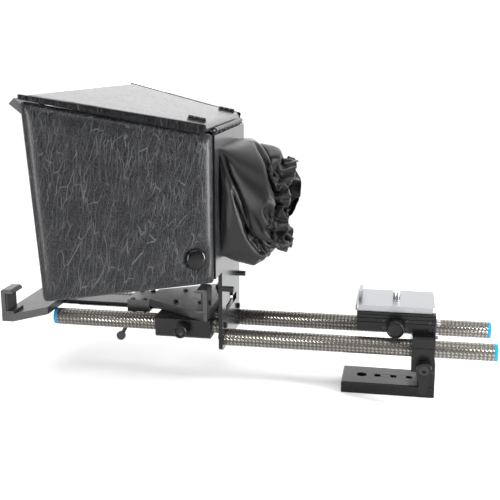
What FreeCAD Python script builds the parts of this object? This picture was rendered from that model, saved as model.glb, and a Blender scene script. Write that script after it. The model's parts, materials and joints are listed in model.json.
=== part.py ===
import FreeCAD, Part
import math
import os

import Sketcher
from FreeCAD import Placement, Rotation, Vector

# Tablet teleprompter on 15 mm rods.
# Origin: centre tripod hole, on the underside of the tripod plate.
# +Z is up, -Y points at the person who reads, +X is the camera operator's left.

DIMENSIONS = [
    # rods
    ("rod_radius", 7.5),
    ("rod_bore_radius", 6.0),
    ("rod_gap", 0.05),
    ("rod_spacing_half", 30),
    ("rear_rod_height", 49),
    ("front_rod_height", 60),
    ("rear_rod_length", 233),
    ("front_rod_length", 152.5),
    ("cap_thickness", 3),
    ("cap_spigot", 8),
    ("insert_length", 12),
    # lens plate
    ("plate_rear", -150),
    ("plate_thickness", 3.5),
    ("plate_bottom", 39),
    ("plate_shoulder", 111.5),
    ("plate_top", 231.5),
    ("plate_half_width", 64.3),
    ("plate_foot_half", 40),
    ("window_half", 47),
    ("window_bottom", 126),
    ("window_top", 218.6),
    ("relief_half", 24),
    ("relief_bottom", 69.4),
    ("relief_top", 76.4),
    ("relief_notch_half", 8),
    ("relief_notch_top", 84),
    ("stud_spacing_half", 28),
    ("stud_height", 93),
    ("stud_radius", 2.5),
    ("stud_reach", 8),
    # lens shroud and its retaining ring
    ("shroud_wall", 3),
    ("shroud_flange", 1),
    ("shroud_flange_width", 4.5),
    ("shroud_length", 58),
    ("shroud_swell", 7),
    ("shroud_drop", 8),
    ("shroud_mouth_half", 42),
    ("shroud_mouth_bore", 34),
    ("shroud_steps", 6),
    ("lens_height", 166.4),
    ("retainer_thickness", 2),
    ("retainer_width", 4.5),
    # hood panels
    ("flare_angle", 25.4),
    ("roof_angle", 12.2),
    ("panel_thickness", 4),
    ("roof_under", 1.5),
    ("roof_over_rear", 5),
    ("roof_over_front", 3),
    ("side_rear_x", 69),
    ("side_bottom_rear", 108.7),
    ("side_bottom_front", 103),
    ("side_depth_bottom", 125.5),
    ("side_depth_top", 133.7),
    ("roof_gap", 0.5),
    ("roof_rear", 3.6),
    ("flap_gap", 1.1),
    ("roof_edge_gap", 0.8),
    ("flap_thickness", 1.6),
    ("flap_depth_rear", 3.5),
    ("flap_depth_front", 0.8),
    ("flap_rear", 4),
    ("hinge_height", 235),
    ("hinge_barrel", 2),
    ("hinge_pin_radius", 0.95),
    ("hinge_leaf", 1),
    ("hinge_leaf_width", 8),
    ("hinge_half_length", 57),
    ("clip_length", 15),
    ("clip_width", 5),
    ("clip_foot", 1),
    ("clip_barrel", 1.4),
    ("clip_height", 2),
    ("clip_half_spacing", 59),
    ("clip_from_hinge", 8),
    # hood brackets, pivot blocks and glass
    ("bracket_inner", 54.5),
    ("bracket_leaf", 1.5),
    ("bracket_depth", 16.5),
    ("bracket_bottom", 150),
    ("bracket_top", 214),
    ("pivot_y", -164.3),
    ("pivot_z", 131.5),
    ("pivot_radius", 2.5),
    ("block_inner", 66),
    ("block_half", 8),
    ("pivot_pin_inner", 61.6),
    ("pivot_pin_outer", 69.8),
    ("lock_shank", 5),
    ("lock_head_radius", 8.75),
    ("lock_head_height", 4.5),
    ("glass_angle", 45),
    ("glass_half_at_pivot", 64.6),
    ("glass_taper", 0.336),
    ("glass_tail", 6.2),
    ("glass_reach", 183),
    ("glass_thickness", 3),
    ("glass_seat", 4),
    ("glass_rail", 8),
    ("glass_rail_thickness", 6),
    # tripod plate and rod clamp
    ("tripod_half_width", 20.5),
    ("tripod_front", -46),
    ("tripod_rear", 36),
    ("tripod_thickness", 10),
    ("quarter_inch_radius", 3),
    ("quarter_inch_pitch", 14.3),
    ("three_eighths_radius", 4.5),
    ("three_eighths_y", -28.5),
    ("post_front", 21),
    ("saddle_bottom", 30),
    ("saddle_split", 52),
    ("saddle_half_width", 40),
    ("clamp_front", 14.5),
    ("clamp_rear", 33.6),
    ("cap_gap", 0.4),
    ("clamp_top", 62),
    ("lever_y", 25),
    ("lever_z", 35.8),
    ("lever_bolt_radius", 2.5),
    ("lever_hub_radius", 6.6),
    ("lever_hub_length", 10),
    ("lever_arm_length", 21.5),
    ("lever_tip_radius", 2.4),
    # camera base, plate and screw
    ("base_half_width", 28),
    ("base_front", -33.4),
    ("base_rear", 34),
    ("base_top", 78.5),
    ("channel_half", 19),
    ("channel_floor", 65.5),
    ("foot_gap", 0.2),
    ("slider_half_width", 26),
    ("slider_front", -35),
    ("slider_rear", 33),
    ("slider_top", 84),
    ("lip_half", 10),
    ("lip_height", 8),
    ("lip_thickness", 3),
    ("camera_screw_radius", 3.175),
    ("camera_screw_reach", 6),
    ("screw_recess", 5),
    ("screw_space", 0.2),
    ("screw_head_radius", 7),
    ("screw_head_height", 5),
    ("screw_neck_radius", 2.6),
    ("screw_slot", 1.6),
    ("base_knob_z", 67),
    ("base_knob_radius", 7.75),
    ("base_knob_length", 11),
    # tablet carriage and cradle
    ("carriage_half_width", 45),
    ("carriage_front", -210),
    ("carriage_rear", -160),
    ("carriage_bottom", 51),
    ("carriage_top", 69.5),
    ("carriage_knob_y", -185),
    ("carriage_knob_radius", 6.5),
    ("carriage_knob_length", 10),
    ("bar_half_width", 12),
    ("bar_bottom", 66.2),
    ("bar_top", 70.2),
    ("bar_front", -332),
    ("bar_rear", -202),
    ("bar_gap", 0.2),
    ("housing_half_width", 16),
    ("housing_front", -245),
    ("housing_rear", -224),
    ("housing_bottom", 63.5),
    ("housing_top", 75),
    ("rear_wing_half", 52),
    ("rear_wing_edge", -161),
    ("rear_wing_top", 76.5),
    ("front_wing_half", 77),
    ("front_wing_waist", 52),
    ("front_wing_rear", -307.5),
    ("front_wing_front", -339),
    ("front_wing_bottom", 68),
    ("front_wing_top", 75),
    ("wing_end", 10),
    ("rear_wing_end", 3),
    ("claw_width", 20),
    ("claw_wall", 4),
    ("claw_depth", 11),
    ("claw_height", 21.5),
    ("claw_foot", 2.5),
    ("claw_lip", 3.6),
    ("pad_thickness", 1.5),
    ("lock_screw_y", -239),
    ("lock_screw_tilt", 30),
    ("lock_screw_radius", 1.75),
    ("lock_screw_length", 34),
    ("lock_screw_start", 1.3),
    ("lock_paddle_radius", 4.2),
    # fasteners
    ("thread_radius", 2),
    ("button_head_radius", 3.4),
    ("button_head_height", 2.2),
    ("rod_screw_head", 2.7),
    ("small_thread_radius", 1.25),
    ("small_head_radius", 2.2),
    ("small_head_height", 1.3),
    ("small_bite", 2),
    ("set_screw_length", 4),
    ("post_screw_x", 12),
    ("post_screw_bite", 1.5),
    ("base_screw_length", 7.5),
    ("cap_thread_depth", 8),
]


class Size:
    """A number together with the spreadsheet expression that it comes from."""

    def __init__(self, value, text=None):
        self.value = float(value)
        self.text = text or repr(self.value)

    def combine(self, other, sign, value):
        return Size(value, "(" + self.text + " " + sign + " " + size(other).text + ")")

    def __add__(self, other):
        return self.combine(other, "+", self.value + size(other).value)

    def __sub__(self, other):
        return self.combine(other, "-", self.value - size(other).value)

    def __mul__(self, other):
        return self.combine(other, "*", self.value * size(other).value)

    def __truediv__(self, other):
        return self.combine(other, "/", self.value / size(other).value)

    def __radd__(self, other):
        return size(other) + self

    def __rsub__(self, other):
        return size(other) - self

    def __rmul__(self, other):
        return size(other) * self

    def __neg__(self):
        return Size(-self.value, "(0 - " + self.text + ")")


def size(value):
    return value if isinstance(value, Size) else Size(value)


def sine(angle):
    return Size(math.sin(math.radians(angle.value)), "sin(" + angle.text + " * 1 deg)")


def cosine(angle):
    return Size(math.cos(math.radians(angle.value)), "cos(" + angle.text + " * 1 deg)")


def tangent(angle):
    return Size(math.tan(math.radians(angle.value)), "tan(" + angle.text + " * 1 deg)")


class Dimensions:
    """The driving dimensions, one spreadsheet row each, read back by their alias."""

    def __init__(self, document, rows):
        sheet = document.addObject("Spreadsheet::Sheet", "dims")
        for row, (alias, value) in enumerate(rows, start=1):
            sheet.set("A" + str(row), alias)
            sheet.set("B" + str(row), str(value))
            sheet.setAlias("B" + str(row), alias)
            setattr(self, alias, Size(value, "dims." + alias))


doc = FreeCAD.newDocument("teleprompter")
d = Dimensions(doc, DIMENSIONS)
doc.recompute()

PARTS = {}
SIDES = (("left", 1), ("right", -1))

# Turns a piece whose own axis is +Z onto another direction.
TO_X = Rotation(Vector(0, 1, 0), 90)
TO_MINUS_X = Rotation(Vector(0, 1, 0), -90)
TO_Y = Rotation(Vector(1, 0, 0), -90)
TO_MINUS_Y = Rotation(Vector(1, 0, 0), 90)
TO_MINUS_Z = Rotation(Vector(1, 0, 0), 180)
UPRIGHT = Rotation()


# ---------------------------------------------------------------- modelling helpers


def keep(label, item):
    item.Label = label
    PARTS[label] = item
    return item


def place(item, x, y, z, rotation=UPRIGHT):
    spot = [size(value) for value in (x, y, z)]
    item.Placement = Placement(Vector(*[value.value for value in spot]), rotation)
    for letter, value in zip("xyz", spot):
        item.setExpression("Placement.Base." + letter, value.text)
    return item


def new_body(label):
    return keep(label, doc.addObject("PartDesign::Body", label))


def new_sketch(body, plane, offset):
    sketch = body.newObject("Sketcher::SketchObject", body.Name + "_sketch")
    support = [item for item in body.Origin.OriginFeatures if item.Role == plane + "_Plane"]
    sketch.AttachmentSupport = [(support[0], "")]
    sketch.MapMode = "FlatFace"
    sketch.AttachmentOffset = Placement(Vector(0, 0, offset.value), UPRIGHT)
    sketch.setExpression("AttachmentOffset.Base.z", offset.text)
    return sketch


def fix_point(sketch, geometry, point, x, y):
    for kind, amount in (("DistanceX", x), ("DistanceY", y)):
        rule = Sketcher.Constraint(kind, -1, 1, geometry, point, amount.value)
        sketch.setExpression("Constraints[" + str(sketch.addConstraint(rule)) + "]", amount.text)


def fix_radius(sketch, geometry, radius):
    rule = Sketcher.Constraint("Radius", geometry, radius.value)
    sketch.setExpression("Constraints[" + str(sketch.addConstraint(rule)) + "]", radius.text)


def polygon(*corners):
    """A closed outline through the corners, each an (x, y) pair."""
    points = [(size(x), size(y)) for x, y in corners]

    def draw(sketch):
        vectors = [Vector(x.value, y.value, 0) for x, y in points]
        first = None
        for start, end in zip(vectors, vectors[1:] + vectors[:1]):
            index = sketch.addGeometry(Part.LineSegment(start, end), False)
            first = index if first is None else first
        count = len(points)
        for number, (x, y) in enumerate(points):
            following = first + (number + 1) % count
            sketch.addConstraint(Sketcher.Constraint("Coincident", first + number, 2, following, 1))
            fix_point(sketch, first + number, 1, x, y)

    return draw


def rectangle(x_low, x_high, y_low, y_high):
    return polygon((x_low, y_low), (x_high, y_low), (x_high, y_high), (x_low, y_high))


def circle(x, y, radius):
    x, y, radius = size(x), size(y), size(radius)

    def draw(sketch):
        ring = Part.Circle(Vector(x.value, y.value, 0), Vector(0, 0, 1), radius.value)
        index = sketch.addGeometry(ring, False)
        fix_point(sketch, index, 3, x, y)
        fix_radius(sketch, index, radius)

    return draw


def extrude(kind, body, plane, low, high, outlines):
    """Pads or pockets the outlines between two heights along the plane's axis."""
    low, high = size(low), size(high)
    towards_y = plane == "XZ"
    if kind == "Pad":
        offset = -high if towards_y else low
    else:
        offset = -low if towards_y else high
    sketch = new_sketch(body, plane, offset)
    for draw in outlines:
        draw(sketch)
    feature = body.newObject("PartDesign::" + kind, body.Name + "_" + kind)
    feature.Profile = sketch
    feature.setExpression("Length", (high - low).text)
    doc.recompute()
    return feature


def prism(body, plane, low, high, *outlines):
    return extrude("Pad", body, plane, low, high, outlines)


def cut(body, plane, low, high, *outlines):
    before = body.Shape.Volume
    feature = extrude("Pocket", body, plane, low, high, outlines)
    if body.Shape.Volume > before - 1e-6:
        raise RuntimeError(body.Label + ": a pocket removes nothing")
    return feature


def turned(label, *profile):
    """A body turned about +Z from an outline of (radius, height) corners."""
    body = new_body(label)
    sketch = new_sketch(body, "XZ", size(0))
    polygon(*profile)(sketch)
    feature = body.newObject("PartDesign::Revolution", label + "_turn")
    feature.Profile = sketch
    feature.ReferenceAxis = (sketch, ["V_Axis"])
    feature.Angle = 360
    doc.recompute()
    return body


def edges_where(shape, test):
    """Names of the edges whose middle point and direction pass the test."""
    names = []
    for number, edge in enumerate(shape.Edges, start=1):
        middle = edge.valueAt((edge.FirstParameter + edge.LastParameter) / 2)
        if test(edge, middle):
            names.append("Edge" + str(number))
    return names


def along(edge, axis):
    """True for a straight edge that runs along the axis."""
    if len(edge.Vertexes) != 2 or edge.Curve.TypeId != "Part::GeomLine":
        return False
    run = edge.Vertexes[1].Point - edge.Vertexes[0].Point
    return abs(run.normalize().dot(axis)) > 0.999


def soften(body, kind, amount, test):
    """Adds a fillet or a chamfer to the edges that pass the test."""
    base = body.Tip
    names = edges_where(base.Shape, test)
    feature = body.newObject("PartDesign::" + kind, body.Name + "_" + kind)
    feature.Base = (base, names)
    if kind == "Fillet":
        feature.Radius = amount
    else:
        feature.Size = amount
    doc.recompute()
    return feature


def cylinder(name, radius, length, x=0, y=0, z=0, rotation=UPRIGHT):
    item = doc.addObject("Part::Cylinder", name)
    item.setExpression("Radius", size(radius).text)
    item.setExpression("Height", size(length).text)
    return place(item, x, y, z, rotation)


def block(name, x_low, x_high, y_low, y_high, z_low, z_high):
    item = doc.addObject("Part::Box", name)
    spans = ((x_low, x_high, "Length"), (y_low, y_high, "Width"), (z_low, z_high, "Height"))
    for low, high, edge in spans:
        item.setExpression(edge, (size(high) - low).text)
    return place(item, x_low, y_low, z_low)


def fuse(name, items):
    item = doc.addObject("Part::MultiFuse", name)
    item.Shapes = items
    return item


def subtract(name, base, tool):
    item = doc.addObject("Part::Cut", name)
    item.Base = base
    item.Tool = tool
    return item


def group(label, items):
    item = doc.addObject("Part::Compound", label)
    item.Links = items
    return keep(label, item)


def screw(name, head_radius, head_height, thread_radius, length, spot, rotation):
    """A socket screw with its head standing on the spot and its thread going down."""
    head = cylinder(name + "_head", head_radius, head_height)
    shank = cylinder(name + "_shank", thread_radius, length, 0, 0, -size(length))
    solid = fuse(name + "_solid", [head, shank])
    socket = doc.addObject("Part::Prism", name + "_socket")
    socket.Polygon = 6
    socket.setExpression("Circumradius", (size(head_radius) * 0.5).text)
    socket.setExpression("Height", size(head_height).text)
    place(socket, 0, 0, size(head_height) * 0.35)
    return place(subtract(name, solid, socket), *spot, rotation)


# ---------------------------------------------------------------- rods

rod_screw_length = d.plate_thickness + d.insert_length - 2
plate_front = d.plate_rear - d.plate_thickness
rear_rod_end = d.plate_rear + d.rear_rod_length
front_rod_end = plate_front - d.front_rod_length


def rod(label, x, y, z, length):
    tube = new_body(label)
    prism(tube, "XY", 0, length, circle(0, 0, d.rod_radius), circle(0, 0, d.rod_bore_radius))
    return place(tube, x, y, z, TO_Y)


def rod_end(name, x, y, z, rotation):
    """A blue plug: a disc as wide as the rod on a spigot that goes into its bore."""
    disc = cylinder(name + "_disc", d.rod_radius, d.cap_thickness)
    spigot = cylinder(name + "_spigot", d.rod_bore_radius, d.cap_spigot, 0, 0, -d.cap_spigot)
    return place(fuse(name, [disc, spigot]), x, y, z, rotation)


def rod_insert(name, x, y, z, rotation):
    """A metal plug in the plate end of a rod, drilled for its screw."""
    plug = cylinder(name + "_plug", d.rod_bore_radius, d.insert_length)
    bore = cylinder(name + "_bore", d.thread_radius, d.insert_length - 2)
    return place(subtract(name, plug, bore), x, y, z, rotation)


caps, inserts, rod_screws = [], [], []
for name, side in SIDES:
    x = d.rod_spacing_half * side
    rear, front = d.rear_rod_height, d.front_rod_height
    rod("rear_rod_" + name, x, d.plate_rear, rear, d.rear_rod_length)
    rod("front_rod_" + name, x, front_rod_end, front, d.front_rod_length)
    caps.append(rod_end("rear_cap_" + name, x, rear_rod_end, rear, TO_Y))
    caps.append(rod_end("front_cap_" + name, x, front_rod_end, front, TO_MINUS_Y))
    inserts.append(rod_insert("rear_insert_" + name, x, d.plate_rear, rear, TO_Y))
    inserts.append(rod_insert("front_insert_" + name, x, plate_front, front, TO_MINUS_Y))
    fastener = (d.rod_screw_head, d.button_head_height, d.thread_radius, rod_screw_length)
    rod_screws.append(screw("front_rod_screw_" + name, *fastener, (x, d.plate_rear, front), TO_Y))
    rod_screws.append(screw("rear_rod_screw_" + name, *fastener, (x, plate_front, rear), TO_MINUS_Y))
group("rod_end_caps", caps)
group("rod_inserts", inserts)
group("rod_screws", rod_screws)


# ---------------------------------------------------------------- lens plate

plate = new_body("lens_plate")
prism(
    plate, "XZ", plate_front, d.plate_rear,
    polygon(
        (-d.plate_half_width, d.plate_shoulder), (-d.plate_foot_half, d.plate_shoulder),
        (-d.plate_foot_half, d.plate_bottom), (d.plate_foot_half, d.plate_bottom),
        (d.plate_foot_half, d.plate_shoulder), (d.plate_half_width, d.plate_shoulder),
        (d.plate_half_width, d.plate_top), (-d.plate_half_width, d.plate_top),
    ),
    rectangle(-d.window_half, d.window_half, d.window_bottom, d.window_top),
    polygon(
        (-d.relief_half, d.relief_bottom), (d.relief_half, d.relief_bottom),
        (d.relief_half, d.relief_top), (d.relief_notch_half, d.relief_top),
        (d.relief_notch_half, d.relief_notch_top), (-d.relief_notch_half, d.relief_notch_top),
        (-d.relief_notch_half, d.relief_top), (-d.relief_half, d.relief_top),
    ),
)
for side in (1, -1):
    cut(
        plate, "XZ", plate_front, d.plate_rear,
        circle(d.rod_spacing_half * side, d.rear_rod_height, d.thread_radius),
        circle(d.rod_spacing_half * side, d.front_rod_height, d.thread_radius),
        circle(d.stud_spacing_half * side, d.stud_height, d.stud_radius),
    )
soften(plate, "Fillet", 4, lambda edge, at: along(edge, Vector(0, 1, 0)) and at.z < 40)

studs = []
for name, side in SIDES:
    x = d.stud_spacing_half * side
    nut_height = d.stud_radius * 1.2
    stud = cylinder("stud_" + name, d.stud_radius, d.plate_thickness + d.stud_reach + nut_height)
    nut = doc.addObject("Part::Prism", "stud_nut_" + name)
    nut.Polygon = 6
    nut.setExpression("Circumradius", (d.stud_radius * 1.85).text)
    nut.setExpression("Height", nut_height.text)
    piece = fuse("plate_stud_" + name, [stud, nut])
    studs.append(place(piece, x, plate_front - nut_height, d.stud_height, TO_Y))
group("plate_studs", studs)

bracket_screw_x = d.bracket_inner + 4.5
retainer_screw_x = d.window_half + d.retainer_width / 2
BRACKET_SCREW_Z = (160, 182, 204)
RETAINER_SCREW_Z = (d.window_bottom + 14, d.lens_height + 6, d.window_top - 14)


def screw_holes(x, heights):
    """Circles for the small screws in the two columns at x and -x."""
    return [circle(x * side, z, d.small_thread_radius) for side in (1, -1) for z in heights]


cut(
    plate, "XZ", plate_front, plate_front + d.small_bite + 0.2,
    *screw_holes(bracket_screw_x, BRACKET_SCREW_Z), *screw_holes(retainer_screw_x, RETAINER_SCREW_Z),
)

retainer_back = plate_front - d.shroud_flange
retainer_front = retainer_back - d.retainer_thickness
retainer = new_body("shroud_retainer")
prism(
    retainer, "XZ", retainer_front, retainer_back,
    rectangle(
        -(d.window_half + d.retainer_width), d.window_half + d.retainer_width,
        d.window_bottom - d.retainer_width, d.window_top + d.retainer_width,
    ),
    rectangle(-d.window_half, d.window_half, d.window_bottom, d.window_top),
)
cut(retainer, "XZ", retainer_front, retainer_back, *screw_holes(retainer_screw_x, RETAINER_SCREW_Z))


def rounded_section(y, half, low, high, radius):
    """A closed wire at depth y: a rectangle with four round corners."""
    arc = radius * (1 - math.sqrt(0.5))
    corners = ((half, high, 1, 1), (-half, high, -1, 1), (-half, low, -1, -1), (half, low, 1, -1))
    edges = []
    last = None
    first = None
    for x, z, sx, sz in corners:
        upright = Vector(x, y, z - sz * radius)
        level = Vector(x - sx * radius, y, z)
        middle = Vector(x - sx * arc, y, z - sz * arc)
        start, end = (upright, level) if sx * sz > 0 else (level, upright)
        if last is not None:
            edges.append(Part.LineSegment(last, start).toShape())
        first = start if first is None else first
        edges.append(Part.Arc(start, middle, end).toShape())
        last = end
    edges.append(Part.LineSegment(last, first).toShape())
    return Part.Wire(edges)


def shroud_loft(wall, mouth_half):
    """The sock between the window and the lens, or its inside when inset by its wall."""
    rear, length, steps = d.plate_rear.value, d.shroud_length.value, int(d.shroud_steps.value)
    half, low, high = (
        d.window_half.value - wall, d.window_bottom.value + wall, d.window_top.value - wall,
    )
    lens = d.lens_height.value
    sections = [rounded_section(retainer_back.value, half, low, high, 4)]
    for step in range(steps + 1):
        part = step / steps
        close = part ** 4
        swell = math.sin(math.pi * part) * d.shroud_swell.value
        sag = math.sin(math.pi * part ** 1.3) * d.shroud_drop.value
        wide = half + (mouth_half - half) * close + swell
        bottom = low + (lens - mouth_half - low) * close - sag
        top = high + (lens + mouth_half - high) * part
        radius = 4 + (mouth_half - 5) * part ** 1.5
        sections.append(rounded_section(rear + length * part, wide, bottom, top, radius))
    return Part.makeLoft(sections, True, True)


outer_sock = shroud_loft(0, d.shroud_mouth_half.value)
inner_sock = shroud_loft(d.shroud_wall.value, d.shroud_mouth_bore.value)
flange_half = d.window_half.value + d.shroud_flange_width.value
flange = Part.makeBox(
    2 * flange_half, d.shroud_flange.value,
    d.window_top.value - d.window_bottom.value + 2 * d.shroud_flange_width.value,
    Vector(-flange_half, retainer_back.value, d.window_bottom.value - d.shroud_flange_width.value),
)
shroud = doc.addObject("Part::Feature", "lens_shroud")
flange_holes = [
    Part.makeCylinder(
        d.small_thread_radius.value, d.shroud_flange.value,
        Vector(retainer_screw_x.value * side, retainer_back.value, z.value), Vector(0, 1, 0),
    )
    for side in (1, -1) for z in RETAINER_SCREW_Z
]
shroud_solid = outer_sock.fuse(flange).cut(inner_sock).cut(flange_holes).removeSplitter()
shroud.Shape = shroud_solid.Solids[0]
place(keep("lens_shroud", shroud), 0, 0, 0)


# ---------------------------------------------------------------- hood

flare = tangent(d.flare_angle)
roof_slope = tangent(d.roof_angle)
hinge_y = d.plate_rear - d.plate_thickness / 2


def outer_x(y):
    """Half the hood's width outside its side panels at depth y."""
    return d.side_rear_x + flare * (d.plate_rear - y)


def inner_x(y):
    return outer_x(y) - d.panel_thickness / cosine(d.flare_angle)


def block_x(y):
    """Inner face of a pivot block, parallel to the side panel."""
    return d.block_inner + flare * (d.pivot_y - y)


def roof_z(y, offset):
    """Height of the plane that runs at an offset from the roof's hinge plane."""
    return d.hinge_height + roof_slope * (hinge_y - y) + offset / cosine(d.roof_angle)


def upright_panel(label, side, shift, thickness, corners):
    """A flat panel in the hood's flared side plane; corners are (depth, height)."""
    body = new_body(label)
    slant = cosine(d.flare_angle)
    outline = polygon(*[(size(depth) / slant, height) for depth, height in corners])
    if side > 0:
        prism(body, "XZ", -thickness, 0, outline)
    else:
        prism(body, "XZ", 0, thickness, outline)
    turn = Rotation(Vector(0, 0, 1), -90 + side * d.flare_angle.value)
    x = (d.side_rear_x + shift / slant) * side
    return place(body, x, d.plate_rear, 0, turn)


side_top_rear = roof_z(d.plate_rear, -(d.roof_under + d.roof_gap))
side_top_front = roof_z(d.plate_rear - d.side_depth_top, -(d.roof_under + d.roof_gap))
pivot_depth = d.plate_rear - d.pivot_y
lock_u = pivot_depth / cosine(d.flare_angle)

for name, side in SIDES:
    panel = upright_panel(
        "hood_side_" + name, side, size(0), d.panel_thickness,
        (
            (0, d.side_bottom_rear), (d.side_depth_bottom, d.side_bottom_front),
            (d.side_depth_top, side_top_front), (0, side_top_rear),
        ),
    )
    span = (-d.panel_thickness, 0) if side > 0 else (0, d.panel_thickness)
    cut(panel, "XZ", *span, circle(lock_u, d.pivot_z, d.pivot_radius + d.rod_gap))
    flap_rear_z = roof_z(d.plate_rear - d.flap_rear, -d.flap_depth_rear)
    flap_front_z = roof_z(d.plate_rear - d.side_depth_top, -d.flap_depth_front)
    flap = upright_panel(
        "hood_flap_" + name, side, d.flap_gap + d.flap_thickness, d.flap_thickness,
        (
            (d.flap_rear, flap_rear_z), (d.side_depth_top, flap_front_z),
            (d.side_depth_top, roof_z(d.plate_rear - d.side_depth_top, d.roof_over_front)),
            (d.flap_rear, roof_z(d.plate_rear - d.flap_rear, d.roof_over_rear)),
        ),
    )
    soften(flap, "Fillet", 3, lambda edge, at: edge.Length < 2 and at.x < 12 and at.z < 234)

ROOF_TILT = Rotation(Vector(1, 0, 0), -d.roof_angle.value)
roof_scale = cosine(d.roof_angle)
flap_shift = (d.flap_gap - d.roof_edge_gap) / cosine(d.flare_angle)
roof_front_length = (d.side_depth_top - d.plate_thickness / 2) / roof_scale
roof_rear_half = outer_x(hinge_y - d.roof_rear * roof_scale) + flap_shift
roof_front_half = outer_x(d.plate_rear - d.side_depth_top) + flap_shift
roof = new_body("hood_top")
prism(
    roof, "XY", -d.roof_under, d.roof_over_rear,
    polygon(
        (-roof_rear_half, -d.roof_rear), (-roof_front_half, -roof_front_length),
        (roof_front_half, -roof_front_length), (roof_rear_half, -d.roof_rear),
    ),
)
roof_taper = (d.roof_over_rear - d.roof_over_front) / roof_front_length
taper_length = roof_front_length + 1
cut(
    roof, "YZ", -roof_front_half - 1, roof_front_half + 1,
    polygon(
        (0, d.roof_over_rear), (0, d.roof_over_rear + 1), (-taper_length, d.roof_over_rear + 1),
        (-taper_length, d.roof_over_rear - roof_taper * taper_length),
    ),
)
place(roof, 0, hinge_y, d.hinge_height, ROOF_TILT)

# The clips stand on the padded top, which slopes a little less than the roof's hinge plane.
CLIP_TILT = Rotation(Vector(1, 0, 0), math.degrees(math.atan(roof_taper.value)) - d.roof_angle.value)
clip_y = hinge_y + d.roof_over_rear * roof_slope * roof_scale
clip_z = d.hinge_height + d.roof_over_rear * roof_scale
clip_segment = d.clip_length / 3
clip_rear = -d.clip_from_hinge
clip_front = clip_rear - d.clip_length
clips = []
for name, side in SIDES:
    middle, half = d.clip_half_spacing * side, d.clip_width / 2
    web = d.clip_barrel / 2
    pieces = [
        block(
            "clip_foot_" + name, middle - half, middle + half,
            clip_front, clip_rear, 0, d.clip_foot,
        ),
        block(
            "clip_web_" + name, middle - web, middle + web,
            clip_front, clip_rear, 0, d.clip_height,
        ),
    ]
    for number in range(3):
        rear = clip_rear - clip_segment * number - 0.3
        pieces.append(
            cylinder(
                "clip_barrel_" + name + str(number), d.clip_barrel, clip_segment - 0.6,
                middle, rear, d.clip_height, TO_MINUS_Y,
            )
        )
    clips.append(place(fuse("hood_clip_" + name, pieces), 0, clip_y, clip_z, CLIP_TILT))
group("hood_clips", clips)

KNUCKLES = 12
knuckle_length = d.hinge_half_length * 2 / KNUCKLES
knuckle_gap = 0.3


def knuckles(prefix, first, tab_low, tab_high, tab_z_low, tab_z_high):
    """Every second barrel of the hinge, with the tab that joins it to its leaf."""
    pieces = []
    for number in range(first, KNUCKLES, 2):
        start = -d.hinge_half_length + knuckle_length * number + knuckle_gap / 2
        width = knuckle_length - knuckle_gap
        name = prefix + str(number)
        pieces.append(cylinder(name + "_barrel", d.hinge_barrel, width, start, 0, 0, TO_X))
        pieces.append(block(name + "_tab", start, start + width, tab_low, tab_high, tab_z_low, tab_z_high))
    return pieces


def hinge_leaf(label, pieces, rotation):
    """A leaf and its barrels, bored for the pin, and set on the hinge line."""
    length = d.hinge_half_length * 2
    radius, start = d.hinge_pin_radius + d.rod_gap, -d.hinge_half_length
    pin_space = cylinder(label + "_bore", radius, length, start, 0, 0, TO_X)
    leaf = subtract(label, fuse(label + "_solid", pieces), pin_space)
    return place(keep(label, leaf), 0, hinge_y, d.hinge_height, rotation)


leaf_face = d.plate_thickness / 2
leaf_front = -(leaf_face + d.hinge_leaf)
fixed_top = d.plate_top - d.hinge_height + 0.2
fixed_pieces = knuckles("fixed", 0, leaf_front, -leaf_face + 0.4, fixed_top - 0.1, -0.6)
fixed_pieces.append(
    block(
        "fixed_plate", -d.hinge_half_length, d.hinge_half_length,
        leaf_front, -leaf_face, fixed_top - d.hinge_leaf_width, fixed_top,
    )
)
hinge_leaf("hinge_fixed_leaf", fixed_pieces, UPRIGHT)
moving_low = -d.roof_under - d.hinge_leaf
moving_pieces = knuckles("moving", 1, -d.roof_rear - 0.5, 0, moving_low, -d.roof_under - 0.1)
moving_pieces.append(
    block(
        "moving_plate", -d.hinge_half_length, d.hinge_half_length,
        -d.roof_rear - d.hinge_leaf_width, -d.roof_rear, moving_low, -d.roof_under,
    )
)
hinge_leaf("hinge_moving_leaf", moving_pieces, ROOF_TILT)
hinge_pin = cylinder("hinge_pin", d.hinge_pin_radius, d.hinge_half_length * 2)
place(keep("hinge_pin", hinge_pin), -d.hinge_half_length, hinge_y, d.hinge_height, TO_X)


# ---------------------------------------------------------------- hood brackets and pivot blocks


def upright_prism(name, corners, z_low, z_high, side):
    """A straight block from an outline seen from above, on the left or mirrored."""
    body = doc.addObject("PartDesign::Body", name)
    prism(body, "XY", z_low, z_high, polygon(*[(size(x) * side, y) for x, y in corners]))
    return body


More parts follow.
